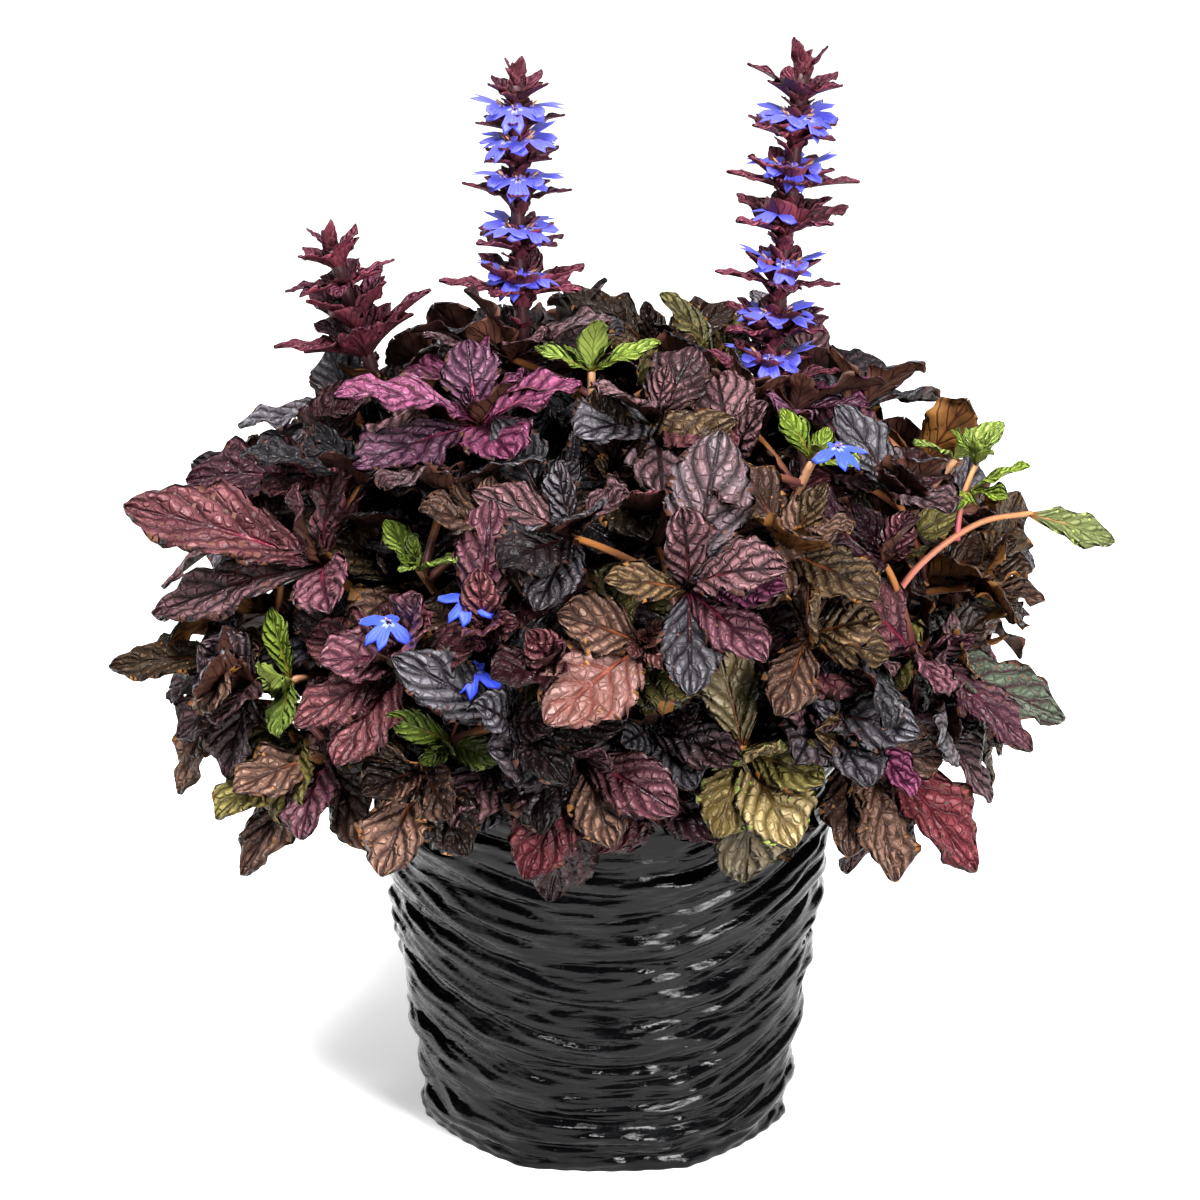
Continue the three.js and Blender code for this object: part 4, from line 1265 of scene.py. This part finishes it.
def add_whorl_fill(shape, plan, whorls, neck, end):
    rise = end - neck
    axis = unit(rise)
    levels = [whorls[0][0] - BELOW_FIRST] + [whorl[0] for whorl in whorls]
    for low, high in zip(levels, levels[1:]):
        if plan.flowers and high - low > LEAST_BETWEEN:
            add_between(shape, neck, rise, low, high)
    for w, (z, _, bract_length, tilt, flowers) in enumerate(whorls):
        spot = neck + rise * ((z - neck[2]) / rise[2])
        for i in range(INNER_BRACTS):
            turn = (i + INNER_TURNED + 0.5 * (w % 2)) / INNER_BRACTS * 2 * math.pi
            turn += scene_draws.spread(INNER_STRAY["turn"])
            length = bract_length * INNER_SHARE * (1 + scene_draws.spread(INNER_STRAY["length"]))
            leaning = INNER_TILT if flowers else max(LEAST_TILT, tilt - INNER_RISE)
            leaning = math.radians(leaning + scene_draws.spread(INNER_STRAY["tilt"]))
            start = spot - axis * INNER_BELOW
            bract = leaning_bract(start, axis, turn, leaning, length, length * INNER_WIDTH, scene_draws)
            bract.cup = INNER_CUP
            add_toned_leaf(shape, framed(bract), "spike", crinkle=0.6)
        for i in range(BUDS if flowers else 0):
            turn = (i + 0.5) / BUDS * 2 * math.pi + scene_draws.spread(BUD_STRAY["turn"])
            leaning = math.radians(BUD_TILT + scene_draws.spread(BUD_STRAY["tilt"]))
            out = pair_direction(axis, turn, leaning)[0]
            add_calyx(shape, spot + axis * BUD_ABOVE, out, BUD_LENGTH + scene_draws.one())


# Materials
class Graph:
    def __init__(self, name, **constants):
        self.material = bpy.data.materials.new(name)
        self.material.use_nodes = True
        self.tree = self.material.node_tree
        self.shader = self.tree.nodes["Principled BSDF"]
        for socket, value in constants.items():
            self.shader.inputs[socket.replace("_", " ")].default_value = value

    def node(self, kind, inputs=(), **settings):
        node = self.tree.nodes.new(kind)
        for setting, value in settings.items():
            setattr(node, setting, value)
        for socket, value in dict(inputs).items():
            self.put(node.inputs[socket], value)
        return node

    def put(self, socket, value):
        if isinstance(value, bpy.types.NodeSocket):
            self.tree.links.new(value, socket)
        elif isinstance(value, tuple) and len(value) == 3 and socket.type == "RGBA":
            socket.default_value = (*value, 1)
        else:
            socket.default_value = value

    def math(self, operation, *values):
        node = self.node("ShaderNodeMath", operation=operation)
        for socket, value in zip(node.inputs, values):
            self.put(socket, value)
        return node.outputs[0]

    def mix(self, share, a, b):
        node = self.node("ShaderNodeMix", data_type="RGBA")
        self.put(node.inputs[0], share)
        self.put(node.inputs[6], a)
        self.put(node.inputs[7], b)
        return node.outputs[2]

    def step(self, value, low, high):
        node = self.node("ShaderNodeMapRange", interpolation_type="SMOOTHSTEP")
        for socket, put in zip(node.inputs, (value, low, high, 0.0, 1.0)):
            self.put(socket, put)
        return node.outputs[0]

    def noise(self, scale, detail=3.0, place=None, rough=0.5, distortion=0.0):
        inputs = {"Scale": scale, "Detail": detail, "Roughness": rough, "Distortion": distortion}
        return self.node("ShaderNodeTexNoise", {**inputs, "Vector": place or self.place()}).outputs["Fac"]

    def place(self):
        return self.node("ShaderNodeTexCoord").outputs["Object"]

    # A leaf's own numbers
    def own(self):
        own = self.node("ShaderNodeAttribute", attribute_name="own")
        return self.node("ShaderNodeSeparateColor", {"Color": own.outputs[0]}).outputs

    # How far along and around or across its leaf, stem or petal a point is
    def along_and_across(self):
        place = self.node("ShaderNodeUVMap", uv_map="place")
        return self.node("ShaderNodeSeparateXYZ", {0: place.outputs[0]}).outputs[:2]

    # How far along a leaf a point is, and how far from its midrib
    def leaf_place(self):
        along, across = self.along_and_across()
        return along, self.math("ABSOLUTE", self.math("MULTIPLY_ADD", across, 2.0, -1.0))

    # From 0 on a side vein to 1 midway between two
    def off_vein(self, w):
        return self.math("MULTIPLY", self.math("PINGPONG", w, 0.5), 2.0)

    def inverse(self, value):
        return self.math("SUBTRACT", 1.0, value)

    def bump(self, height, strength, distance):
        inputs = {"Strength": strength, "Distance": distance, "Height": height}
        return self.node("ShaderNodeBump", inputs).outputs[0]

    def finish(self, color, roughness, normal):
        for socket, value in {"Base Color": color, "Roughness": roughness, "Normal": normal}.items():
            self.put(self.shader.inputs[socket], value)
        return self.material


BLACK = (0.0, 0.0, 0.0)
# How dark the painted shade makes leaves deep inside the mound
DEEP_SHADE = 0.85


# A leaf's upper face: pale pillows over dark sunken veins, a coloured root and midrib, and a thin rim. The
# pillows and the veins each mix two colours, by the leaf's own number and in blotches. The pale pillows are
# partly the leaf's own colour and partly painted sheen, brightest on their crests as a painted highlight, and
# leaves deep inside the mound are darkened with painted shade
def leaf_material(name, pillows, veins, root, rim, shade=0.84):
    g = Graph(name, Specular_IOR_Level=0.18)
    light, second, outer = g.own()[:3]
    u, side = g.leaf_place()
    bow = g.math("MULTIPLY_ADD", side, VEIN_BOW, 1 - VEIN_BOW)
    forward = g.math("MULTIPLY", g.math("MULTIPLY", side, VEIN_SLANT), bow)
    w = g.math("MULTIPLY", g.math("SUBTRACT", u, forward), VEINS)
    w = g.math("ADD", w, g.math("MULTIPLY_ADD", g.noise(230.0, 2.0), 0.36, -0.18))
    from_vein = g.off_vein(w)
    inputs = {"Scale": 270.0, "Randomness": 0.9, "Vector": g.place()}
    net = g.node("ShaderNodeTexVoronoi", inputs, feature="DISTANCE_TO_EDGE")
    small = g.step(net.outputs["Distance"], 0.0, 0.16)
    between = g.math("MULTIPLY", g.step(from_vein, 0.02, 0.26), g.step(side, 0.02, 0.1))
    pillow = g.math("MULTIPLY", between, g.math("MULTIPLY_ADD", small, 0.4, 0.6))
    # Lighter towards the middle of each pillow: a painted highlight on the crests, and the relief of the bump
    # below
    crest_and_highlight = g.math("MULTIPLY_ADD", g.step(from_vein, 0.1, 0.8), 0.75, 0.25)
    blotch = g.noise(55.0, 3.0)
    spread = g.math("ADD", g.math("MULTIPLY_ADD", light, 0.5, -0.25), blotch)
    # Where the pillows show their pale colour: painted sheen on the crests, in patches by the blotches and
    # the leaf's light number
    pale = g.math("MULTIPLY", g.math("MULTIPLY", pillow, crest_and_highlight), g.step(spread, 0.25, 0.7))
    share = g.step(g.math("ADD", second, g.math("MULTIPLY_ADD", blotch, 0.6, -0.3)), 0.35, 0.75)
    dim = g.mix(0.25, g.mix(share, *veins), g.mix(share, *pillows))
    color = g.mix(pillow, g.mix(share, *veins), dim)
    color = g.mix(pale, color, g.mix(share, *pillows))
    rib = g.inverse(g.step(side, 0.0, 0.1))
    near = g.inverse(g.step(u, 0.15, 0.6))
    petiole = g.inverse(g.step(u, 0.03, 0.16))
    color = g.mix(g.math("MAXIMUM", g.math("MULTIPLY", rib, near), petiole), color, root)
    color = g.mix(g.math("MULTIPLY", g.step(side, 0.93, 1.0), 0.8), color, rim)
    color = g.mix(g.math("MULTIPLY", g.inverse(light), shade), color, BLACK)
    # Painted shade: leaves deep inside the mound are darkened towards black
    color = g.mix(outer, g.mix(DEEP_SHADE, color, BLACK), color)
    rough = g.math("MULTIPLY_ADD", g.noise(300.0, 3.0), 0.3, 0.16)
    height = g.math("MULTIPLY_ADD", g.noise(700.0, 2.0), 0.25, g.math("MULTIPLY", pillow, crest_and_highlight))
    return g.finish(color, rough, g.bump(height, 1.0, 0.0022))


def under_material(name, body, vein):
    g = Graph(name, Specular_IOR_Level=0.18)
    u, side = g.leaf_place()
    w = g.math("MULTIPLY", g.math("SUBTRACT", u, g.math("MULTIPLY", side, VEIN_SLANT)), VEINS)
    between = g.math("MULTIPLY", g.step(g.off_vein(w), 0.0, 0.3), g.step(side, 0.0, 0.1))
    blotch = g.noise(60.0, 3.0)
    color = g.mix(between, vein, body)
    color = g.mix(g.math("MULTIPLY", g.step(blotch, 0.35, 0.7), 0.8), color, (0.02, 0.008, 0.008))
    # Painted shade: undersides deep inside the mound are darkened towards black
    color = g.mix(g.own()[2], g.mix(DEEP_SHADE, color, BLACK), color)
    rough = g.math("MULTIPLY_ADD", blotch, 0.2, 0.4)
    return g.finish(color, rough, g.bump(between, 0.5, 0.0006))


def stem_material(name, low, high):
    g = Graph(name, Specular_IOR_Level=0.3, Sheen_Weight=0.08)
    blotch = g.noise(120.0, 4.0)
    share = g.math("ADD", g.along_and_across()[0], g.math("MULTIPLY_ADD", blotch, 0.6, -0.3))
    color = g.mix(g.step(share, 0.2, 0.9), low, high)
    rough = g.math("MULTIPLY_ADD", blotch, 0.25, 0.35)
    return g.finish(color, rough, g.bump(g.noise(900.0, 2.0), 0.3, 0.0003))


def petal_material(name, deep, pale, edge, middle):
    g = Graph(name, Specular_IOR_Level=0.3, Sheen_Weight=0.15)
    far, around = g.along_and_across()
    lines = g.math("PINGPONG", g.math("MULTIPLY", around, 30.0), 0.5)
    color = g.mix(g.step(lines, 0.05, 0.3), deep, pale)
    color = g.mix(g.math("MULTIPLY", g.noise(200.0), 0.4), color, edge)
    color = g.mix(g.step(far, 0.75, 1.0), color, edge)
    color = g.mix(g.inverse(g.step(far, 0.14, 0.32)), color, middle)
    return g.finish(color, 0.5, g.bump(lines, 0.4, 0.0003))


def film_material():
    g = Graph("black_film", Specular_IOR_Level=0.13)
    dust = g.noise(90.0, 5.0, rough=0.6)
    stretched = g.node("ShaderNodeMapping", {"Vector": g.place(), "Scale": (1.0, 1.0, 6.0)}).outputs[0]
    creases = g.noise(110.0, 4.0, stretched, 0.6, 0.6)
    color = g.mix(g.step(dust, 0.5, 0.8), (0.0015, 0.0015, 0.0018), (0.006, 0.0065, 0.0075))
    rough = g.math("MULTIPLY_ADD", dust, 0.06, 0.03)
    return g.finish(color, rough, g.bump(creases, 0.35, 0.0009))


def plastic_material():
    g = Graph("pot_plastic", Specular_IOR_Level=0.4)
    grain = g.noise(700.0, 3.0)
    color = g.mix(grain, (0.012, 0.012, 0.012), (0.024, 0.023, 0.022))
    return g.finish(color, g.math("MULTIPLY_ADD", grain, 0.2, 0.45), g.bump(grain, 0.2, 0.0002))


def soil_material():
    g = Graph("potting_mix", Specular_IOR_Level=0.3)
    clods = g.noise(220.0, 6.0, rough=0.7)
    flecks = g.step(g.noise(600.0, 2.0), 0.68, 0.74)
    color = g.mix(g.step(clods, 0.35, 0.7), (0.012, 0.007, 0.004), (0.06, 0.035, 0.02))
    color = g.mix(flecks, color, (0.35, 0.3, 0.24))
    return g.finish(color, 0.9, g.bump(clods, 0.8, 0.0015))


ORANGE = (0.34, 0.09, 0.025)
AMBER = (0.3, 0.15, 0.03)
# Each tone's two pillow colours, which are partly its own colour and partly painted sheen, two vein colours,
# root, rim and, where it isn't the usual one, how far its darkest leaves are shaded
LEAF_COLOURS = {
    "dark": [
        ((0.19, 0.094, 0.102), (0.17, 0.158, 0.178)), ((0.009, 0.003, 0.004), (0.006, 0.003, 0.006)),
        (0.12, 0.02, 0.02), (0.08, 0.03, 0.026),
    ],
    "bronze": [
        ((0.22, 0.12, 0.085), (0.16, 0.1, 0.05)), ((0.028, 0.01, 0.007), (0.022, 0.009, 0.005)),
        ORANGE, (0.17, 0.07, 0.03),
    ],
    "burgundy": [
        ((0.25, 0.088, 0.096), (0.19, 0.077, 0.098)), ((0.042, 0.006, 0.011), (0.03, 0.005, 0.014)),
        (0.36, 0.03, 0.07), (0.17, 0.035, 0.04),
    ],
    "red": [
        ((0.22, 0.04, 0.058), (0.17, 0.035, 0.042)), ((0.055, 0.004, 0.009), (0.045, 0.004, 0.007)),
        (0.4, 0.03, 0.08), (0.17, 0.02, 0.03),
    ],
    "copper": [
        ((0.45, 0.27, 0.24), (0.32, 0.16, 0.15)), ((0.13, 0.03, 0.02), (0.09, 0.016, 0.014)),
        (0.4, 0.1, 0.05), (0.35, 0.12, 0.09), 0.4,
    ],
    "magenta": [
        ((0.27, 0.07, 0.15), (0.17, 0.07, 0.12)), ((0.035, 0.002, 0.014), (0.018, 0.003, 0.012)),
        (0.5, 0.05, 0.14), (0.16, 0.03, 0.07),
    ],
    "gold": [
        ((0.6, 0.48, 0.3), (0.38, 0.28, 0.12)), ((0.11, 0.07, 0.01), (0.08, 0.05, 0.008)),
        ORANGE, (0.3, 0.16, 0.06), 0.4,
    ],
    "olive": [
        ((0.24, 0.2, 0.06), (0.16, 0.14, 0.05)), ((0.04, 0.03, 0.006), (0.03, 0.022, 0.006)),
        AMBER, (0.2, 0.1, 0.03),
    ],
    "sage": [
        ((0.15, 0.17, 0.065), (0.115, 0.14, 0.045)), ((0.09, 0.11, 0.03), (0.07, 0.09, 0.02)),
        (0.4, 0.16, 0.06), (0.3, 0.12, 0.06), 0.3,
    ],
    "verdigris": [
        ((0.07, 0.13, 0.085), (0.095, 0.125, 0.085)), ((0.03, 0.008, 0.012), (0.026, 0.01, 0.012)),
        (0.36, 0.04, 0.07), (0.26, 0.05, 0.03), 0.3,
    ],
    "green": [
        ((0.29, 0.38, 0.09), (0.21, 0.29, 0.035)), ((0.12, 0.18, 0.022), (0.1, 0.15, 0.016)),
        (0.5, 0.28, 0.03), (0.26, 0.24, 0.05), 0.4,
    ],
    "spike": [
        ((0.23, 0.056, 0.088), (0.16, 0.046, 0.078)), ((0.085, 0.014, 0.025), (0.055, 0.011, 0.024)),
        (0.16, 0.04, 0.04), (0.3, 0.05, 0.08), 0.4,
    ],
}
TONES = {
    tone: leaf_material("bract" if tone == "spike" else "leaf_" + tone, *colours)
    for tone, colours in LEAF_COLOURS.items()
}
UNDERSIDES = {
    "dark": under_material("under_dark", (0.1, 0.04, 0.025), (0.025, 0.006, 0.006)),
    "green": under_material("under_green", (0.3, 0.38, 0.08), (0.16, 0.22, 0.03)),
    "warm": under_material("under_warm", (0.28, 0.12, 0.03), (0.09, 0.022, 0.008)),
    "spike": under_material("under_bract", (0.2, 0.04, 0.06), (0.08, 0.012, 0.025)),
}
# The underside of each tone that hasn't the dark one
UNDER_OF = dict(
    bronze="warm", copper="warm", olive="warm", gold="green", sage="green", green="green", spike="spike",
)
STEMS = {
    "runner": stem_material("stem_runner", (0.4, 0.085, 0.1), (0.52, 0.2, 0.075)),
    "dark": stem_material("stem_dark", (0.07, 0.014, 0.012), (0.36, 0.13, 0.03)),
    "green": stem_material("stem_green", (0.2, 0.06, 0.03), (0.42, 0.2, 0.1)),
    "spike": stem_material("stem_spike", (0.05, 0.009, 0.014), (0.035, 0.007, 0.011)),
}
SPIKE_PETALS = petal_material(
    "blue_petals", (0.03, 0.03, 0.36), (0.055, 0.06, 0.55), (0.09, 0.09, 0.65), (0.35, 0.34, 0.85)
)
LOOSE_PETALS = petal_material(
    "deep_blue_petals", (0.008, 0.02, 0.4), (0.015, 0.045, 0.62), (0.03, 0.07, 0.75), (0.3, 0.35, 0.9)
)
THROATS = stem_material("flower_throat", (0.1, 0.07, 0.4), (0.25, 0.18, 0.8))
STAMENS = stem_material("stamen", (0.1, 0.08, 0.4), (0.6, 0.3, 0.1))
CALYX = stem_material("calyx", (0.04, 0.01, 0.014), (0.2, 0.035, 0.05))

# The leaves that the photo shows one by one are among the lighter ones
PLACED_LIGHT = 0.4
# Leaves of another tone than their stem's, by their number on it
OWN_TONES = {
    "dusky_leafy_stem_left": {1: "dark"},
    "dark_leafy_stem_far_left": {3: "dark"},
    "bronze_leafy_stem_low_left": {2: "burgundy"},
    "copper_leafy_stem_front": {1: "bronze"},
    "dark_leafy_stem_front": {1: "magenta", 3: "burgundy", 4: "bronze"},
    "burgundy_leafy_stem_low_front": {0: "red", 1: "bronze", 3: "dark"},
    "gold_leafy_stem_low_front": {2: "olive"},
    "red_leafy_stem_low_right": {0: "bronze", 1: "red", 2: "magenta", 3: "dark"},
    "purple_leafy_stem_right": {1: "verdigris"},
    "bronze_leafy_stem_right": {1: "olive"},
    "dark_leafy_stem_top": {1: "burgundy"},
    RUNNER_NAME: {0: "sage"},
}
RUNNER_TAPER = 0.6
TUFT_TAPER = 0.7
BRANCH_TAPER = 0.8
CALYX_SHARE = 0.36


def add_blades(shape, plan):
    tones = OWN_TONES.get(plan.name, {})
    placed = 0 if plan.name[-2:].isdigit() else PLACED_LIGHT
    for i, blade in enumerate(plan.blades):
        tone = tones.get(i, getattr(blade, "tone", plan.tone))
        add_toned_leaf(shape, blade, tone, least=0 if hasattr(blade, "tone") else placed)


def add_stems(shape, plan):
    is_runner = plan.name == RUNNER_NAME
    stem = shape.kind(STEMS["runner" if is_runner else plan.tone if plan.tone in STEMS else "dark"])
    add_stem(shape, plan.path, plan.half, own_tint(), stem, RUNNER_TAPER if is_runner else 1.0)
    branch = shape.kind(STEMS["dark"])
    if hasattr(plan, "tuft"):
        add_stem(shape, plan.tuft, SHOOT_HALF * 0.8, own_tint(), stem, TUFT_TAPER)
    for path, tone, deep in plan.branches:
        add_stem(shape, path, BRANCH_HALF, own_tint(), branch, BRANCH_TAPER)
        if not deep:
            add_young_leaves(shape, path.end, unit(path.tangent(1) + outward(path.end)), tone)


def add_bloom(blooms, flower, material):
    add_flower(blooms, flower, material)
    add_calyx(blooms, flower.base, unit(flower.tip - flower.base), FLOWER * CALYX_SHARE)


def add_blooms(blooms, plan):
    for flower in plan.flowers:
        add_bloom(blooms, flower, SPIKE_PETALS)
    for flower in plan.loose:
        add_bloom(blooms, flower, LOOSE_PETALS)
        stalk = Bezier(flower.root, lerp(flower.root, flower.base, 0.5) + STALK_ARCH, flower.base)
        add_stem(blooms, stalk, STALK_HALF, own_tint(), blooms.kind(STEMS["green"]))


# Each planned stem becomes one piece, and the flowers on it another
def build_plan(plan):
    shape = Shape()
    shape.kind(TONES[plan.tone])
    add_blades(shape, plan)
    add_stems(shape, plan)
    if plan.tone == "spike":
        neck, end, whorls = next(spike[1:] for spike in SPIKES if spike[0] == plan.name)
        add_whorl_fill(shape, plan, whorls, neck, end)
    elif plan.name != RUNNER_NAME:
        add_young_leaves(shape, plan.crown, plan.path.tangent(1), plan.tone)
    blooms = Shape()
    add_blooms(blooms, plan)
    shape.piece(plan.name + "_fine", plan.tone if plan.tone == "spike" else "leaf_" + plan.tone, plan.name)
    if blooms.count:
        blooms.piece(plan.name + "_flowers", "spike")


for plan in plans:
    build_plan(plan)


# The film is drawn over the pot in flat bands with sharp steps between them, which rise towards the sides,
# cross in places and fade out
FILM_TURNS = 200
FILM_LEVELS = 226
# Bands of folds: how far apart and how high they are, how far they swing, wander and lean, and a seed
FOLDS = [
    dict(spacing=6.2, height=1.8, swag=11, wander=3.6, seed=0, lean=0.0),
    dict(spacing=3.9, height=0.8, swag=15, wander=2.6, seed=20, lean=2.5),
    dict(spacing=11.5, height=2.5, swag=7, wander=6.0, seed=40, lean=-3.5),
    dict(spacing=21.0, height=4.0, swag=8, wander=9.0, seed=60, lean=4.0),
]
FOLD_FALL = 0.42
FOLD_FLAT = 0.6
FOLD_MEAN = 0.75
FOLD_VARIES = 1.8
FADE_AT_FOOT = 5
FADE_AT_RIM = 3
# How fast the noise that moves the folds changes round the film and up it, and the same for its quick part
WANDER = (1.6, 4)
QUICK = (6, 9)
QUICK_HEIGHT = 0.8
# The same round each fold, and the step of the noise from one fold to the next
PATCH = 3.2
PATCH_STEP = 1.7
FILM_LEAST = -1.8
FILM_MOST = 2.6
FILM_LOOSE = 1.4
# Near the foot the film is folded under in flat faces, one of them at the front, with small pleats
HEM_HEIGHT = 8
HEM_DEPTH = 3.2
HEM_FLAT = 0.9
HEM_CORNERS = 7
PLEATS = 44
PLEAT = 0.3
PLEAT_HEIGHT = 9
BASE_RADIUS = 30
CENTRE = 0.05


def film_noise(around, scale, height, seed=0):
    return noise.noise(Vector((around.x * scale + seed, around.y * scale, height)))


def fold_lift(fold, around, turn, level):
    share = level / RIM_HEIGHT
    seed = fold["seed"]
    wander, quick = (film_noise(around, round_it, share * up_it, seed) for round_it, up_it in (WANDER, QUICK))
    swing = fold["swag"] * math.cos(2 * turn) * 4 * share * (1 - share)
    leaning = fold["lean"] * math.sin(turn * 3 + seed)
    line = (level - swing + leaning + fold["wander"] * wander + QUICK_HEIGHT * quick) / fold["spacing"]
    place = line - math.floor(line)
    rising = place / (1 - FOLD_FALL)
    falling = (1 - place) / FOLD_FALL
    patch = film_noise(around, PATCH, seed + math.floor(line) * PATCH_STEP)
    strength = max(0, min(1, FOLD_MEAN + FOLD_VARIES * patch))
    return fold["height"] * strength * (min(rising ** FOLD_FLAT, falling) - 0.5)


def film_lift(turn, level):
    around = Vector((math.cos(turn), math.sin(turn), 0))
    fade = min(1, level / FADE_AT_FOOT) * min(1, (RIM_HEIGHT - level) / FADE_AT_RIM)
    return fade * sum(fold_lift(fold, around, turn, level) for fold in FOLDS)


def film_point(turn, level):
    around = Vector((math.cos(turn), math.sin(turn), 0))
    foot = max(0, 1 - level / HEM_HEIGHT)
    half = math.pi / HEM_CORNERS
    from_face = (turn + math.pi / 2 + half) % (2 * half) - half
    corner = (1 / math.cos(from_face) - 1) / (1 / math.cos(half) - 1)
    hem = foot * (HEM_DEPTH * corner - HEM_FLAT)
    pleat = max(0, 1 - level / PLEAT_HEIGHT) * PLEAT * math.sin(PLEATS * turn + 3 * around.x)
    lift = max(FILM_LEAST, min(FILM_MOST, film_lift(turn, level) + pleat))
    radius = film_radius(level) + FILM_LOOSE + lift + hem
    return radius * around.x, radius * around.y, level


def circle(radius, z, turns):
    return [(radius * math.cos(turn), radius * math.sin(turn), z) for turn in turns]


def build_film():
    turns = np.arange(FILM_TURNS) / FILM_TURNS * 2 * math.pi
    levels = [RIM_HEIGHT * i / FILM_LEVELS for i in range(FILM_LEVELS + 1)]
    floor = FILM_WALL / 2
    inside = [(film_radius(RIM_HEIGHT) - FILM_WALL, RIM_HEIGHT), (film_radius(floor) - FILM_WALL, floor)]
    rows = [circle(CENTRE, 0, turns), circle(BASE_RADIUS, 0, turns)]
    rows += [[film_point(turn, level) for turn in turns] for level in levels]
    rows += [circle(radius, z, turns) for radius, z in [*inside, (CENTRE, floor)]]
    shape = Shape()
    add_rings(shape, rows, film_material())
    shape.piece("film_wrap_fine", "film", "film_wrap")


SOIL_RINGS = 40
SOIL_TURNS = 96
SOIL_CENTRE = 0.002
SOIL_SUNK = 0.5
SOIL_EDGE = 1 / 8
CRUMB = 1.6
COARSE = 0.35
FINE = 0.9
FINE_SHARE = 0.6


def soil_height(x, y, share):
    crumb = noise.noise(Vector((x, y, 0)) * COARSE) + FINE_SHARE * noise.noise(Vector((x, y, 5)) * FINE)
    fade = min(1, (1 - share) / SOIL_EDGE)
    return SOIL_TOP + SOIL_CROWN * (1 - share ** 2) + CRUMB * crumb * fade - SOIL_SUNK


def build_soil():
    wall = film_radius(SOIL_TOP) - FILM_WALL - POT_WALL - 2 * GAP
    foot_level = FILM_WALL / 2 + POT_WALL + 2 * GAP
    foot = film_radius(foot_level) - FILM_WALL - POT_WALL - 2 * GAP
    turns = np.arange(SOIL_TURNS) / SOIL_TURNS * 2 * math.pi
    rows = []
    for i in range(SOIL_RINGS + 1):
        share = max(i / SOIL_RINGS, SOIL_CENTRE)
        ring = circle(wall * share, 0, turns)
        rows.append([(x, y, soil_height(x, y, share)) for x, y, _ in ring])
    rows += [circle(foot, foot_level, turns), circle(CENTRE, foot_level, turns)]
    shape = Shape()
    add_rings(shape, rows, soil_material(), outside_in=True)
    shape.piece("potting_soil_fine", "soil", "potting_soil")


build_film()
build_soil()
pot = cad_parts["nursery_pot"]
pot.data.materials.clear()
pot.data.materials.append(plastic_material())


# Stage, lights and camera
FLOOR_SIZE = 12
WORLD_LIGHT = 0.04
# Each light's place, target, width, height and power
LIGHTS = [
    ("overhead", (0, 0.8, 2.8), (0, 0.8, 0), 5.5, 5.5, 138),
    ("key", (-0.35, -1.0, 2.1), (0, 0, 0.2), 0.8, 0.8, 122),
    ("tall_softbox", (0.85, -1.25, 0.75), (0, 0, 0.15), 0.36, 1.1, 54),
    ("left_fill", (-1.3, -0.9, 0.9), (0, 0, 0.2), 0.5, 0.9, 4),
]


def build_floor():
    bpy.ops.mesh.primitive_plane_add(size=FLOOR_SIZE)
    floor = bpy.context.object
    floor.name = "floor"
    paint = dict(Base_Color=(0.86, 0.86, 0.86, 1), Emission_Color=(1, 1, 1, 1), Emission_Strength=0.3)
    graph = Graph("floor_paint", Roughness=0.8, Specular_IOR_Level=0.1, **paint)
    floor.data.materials.append(graph.material)
    floor.visible_diffuse = False


def area_light(name, place, target, size, size_y, power):
    light = bpy.data.lights.new(name, "AREA")
    light.shape = "RECTANGLE"
    light.size, light.size_y, light.energy = size, size_y, power
    lamp = bpy.data.objects.new(name, light)
    lamp.location = place
    lamp.rotation_euler = (Vector(target) - Vector(place)).to_track_quat("-Z", "Y").to_euler()
    bpy.context.scene.collection.objects.link(lamp)


def build_world():
    world = bpy.data.worlds.new("studio")
    bpy.context.scene.world = world
    world.use_nodes = True
    background = world.node_tree.nodes["Background"]
    background.inputs["Color"].default_value = (1, 1, 1, 1)
    background.inputs["Strength"].default_value = WORLD_LIGHT


CAMERA_TARGET = Vector((-0.002, 0, 0.187))
CAMERA_DISTANCE = 1.4
CAMERA_LENS = 121.5
CAMERA_SENSOR = 36


def build_camera():
    data = bpy.data.cameras.new("camera")
    data.lens = CAMERA_LENS
    data.sensor_width = CAMERA_SENSOR
    camera = bpy.data.objects.new("camera", data)
    back = Vector(VIEW_BACK)
    camera.location = CAMERA_TARGET + CAMERA_DISTANCE * back
    camera.rotation_euler = (-back).to_track_quat("-Z", "Y").to_euler()
    bpy.context.scene.collection.objects.link(camera)
    bpy.context.scene.camera = camera


build_floor()
build_world()
for light in LIGHTS:
    area_light(*light)
build_camera()
bpy.context.scene.view_settings.view_transform = "Standard"
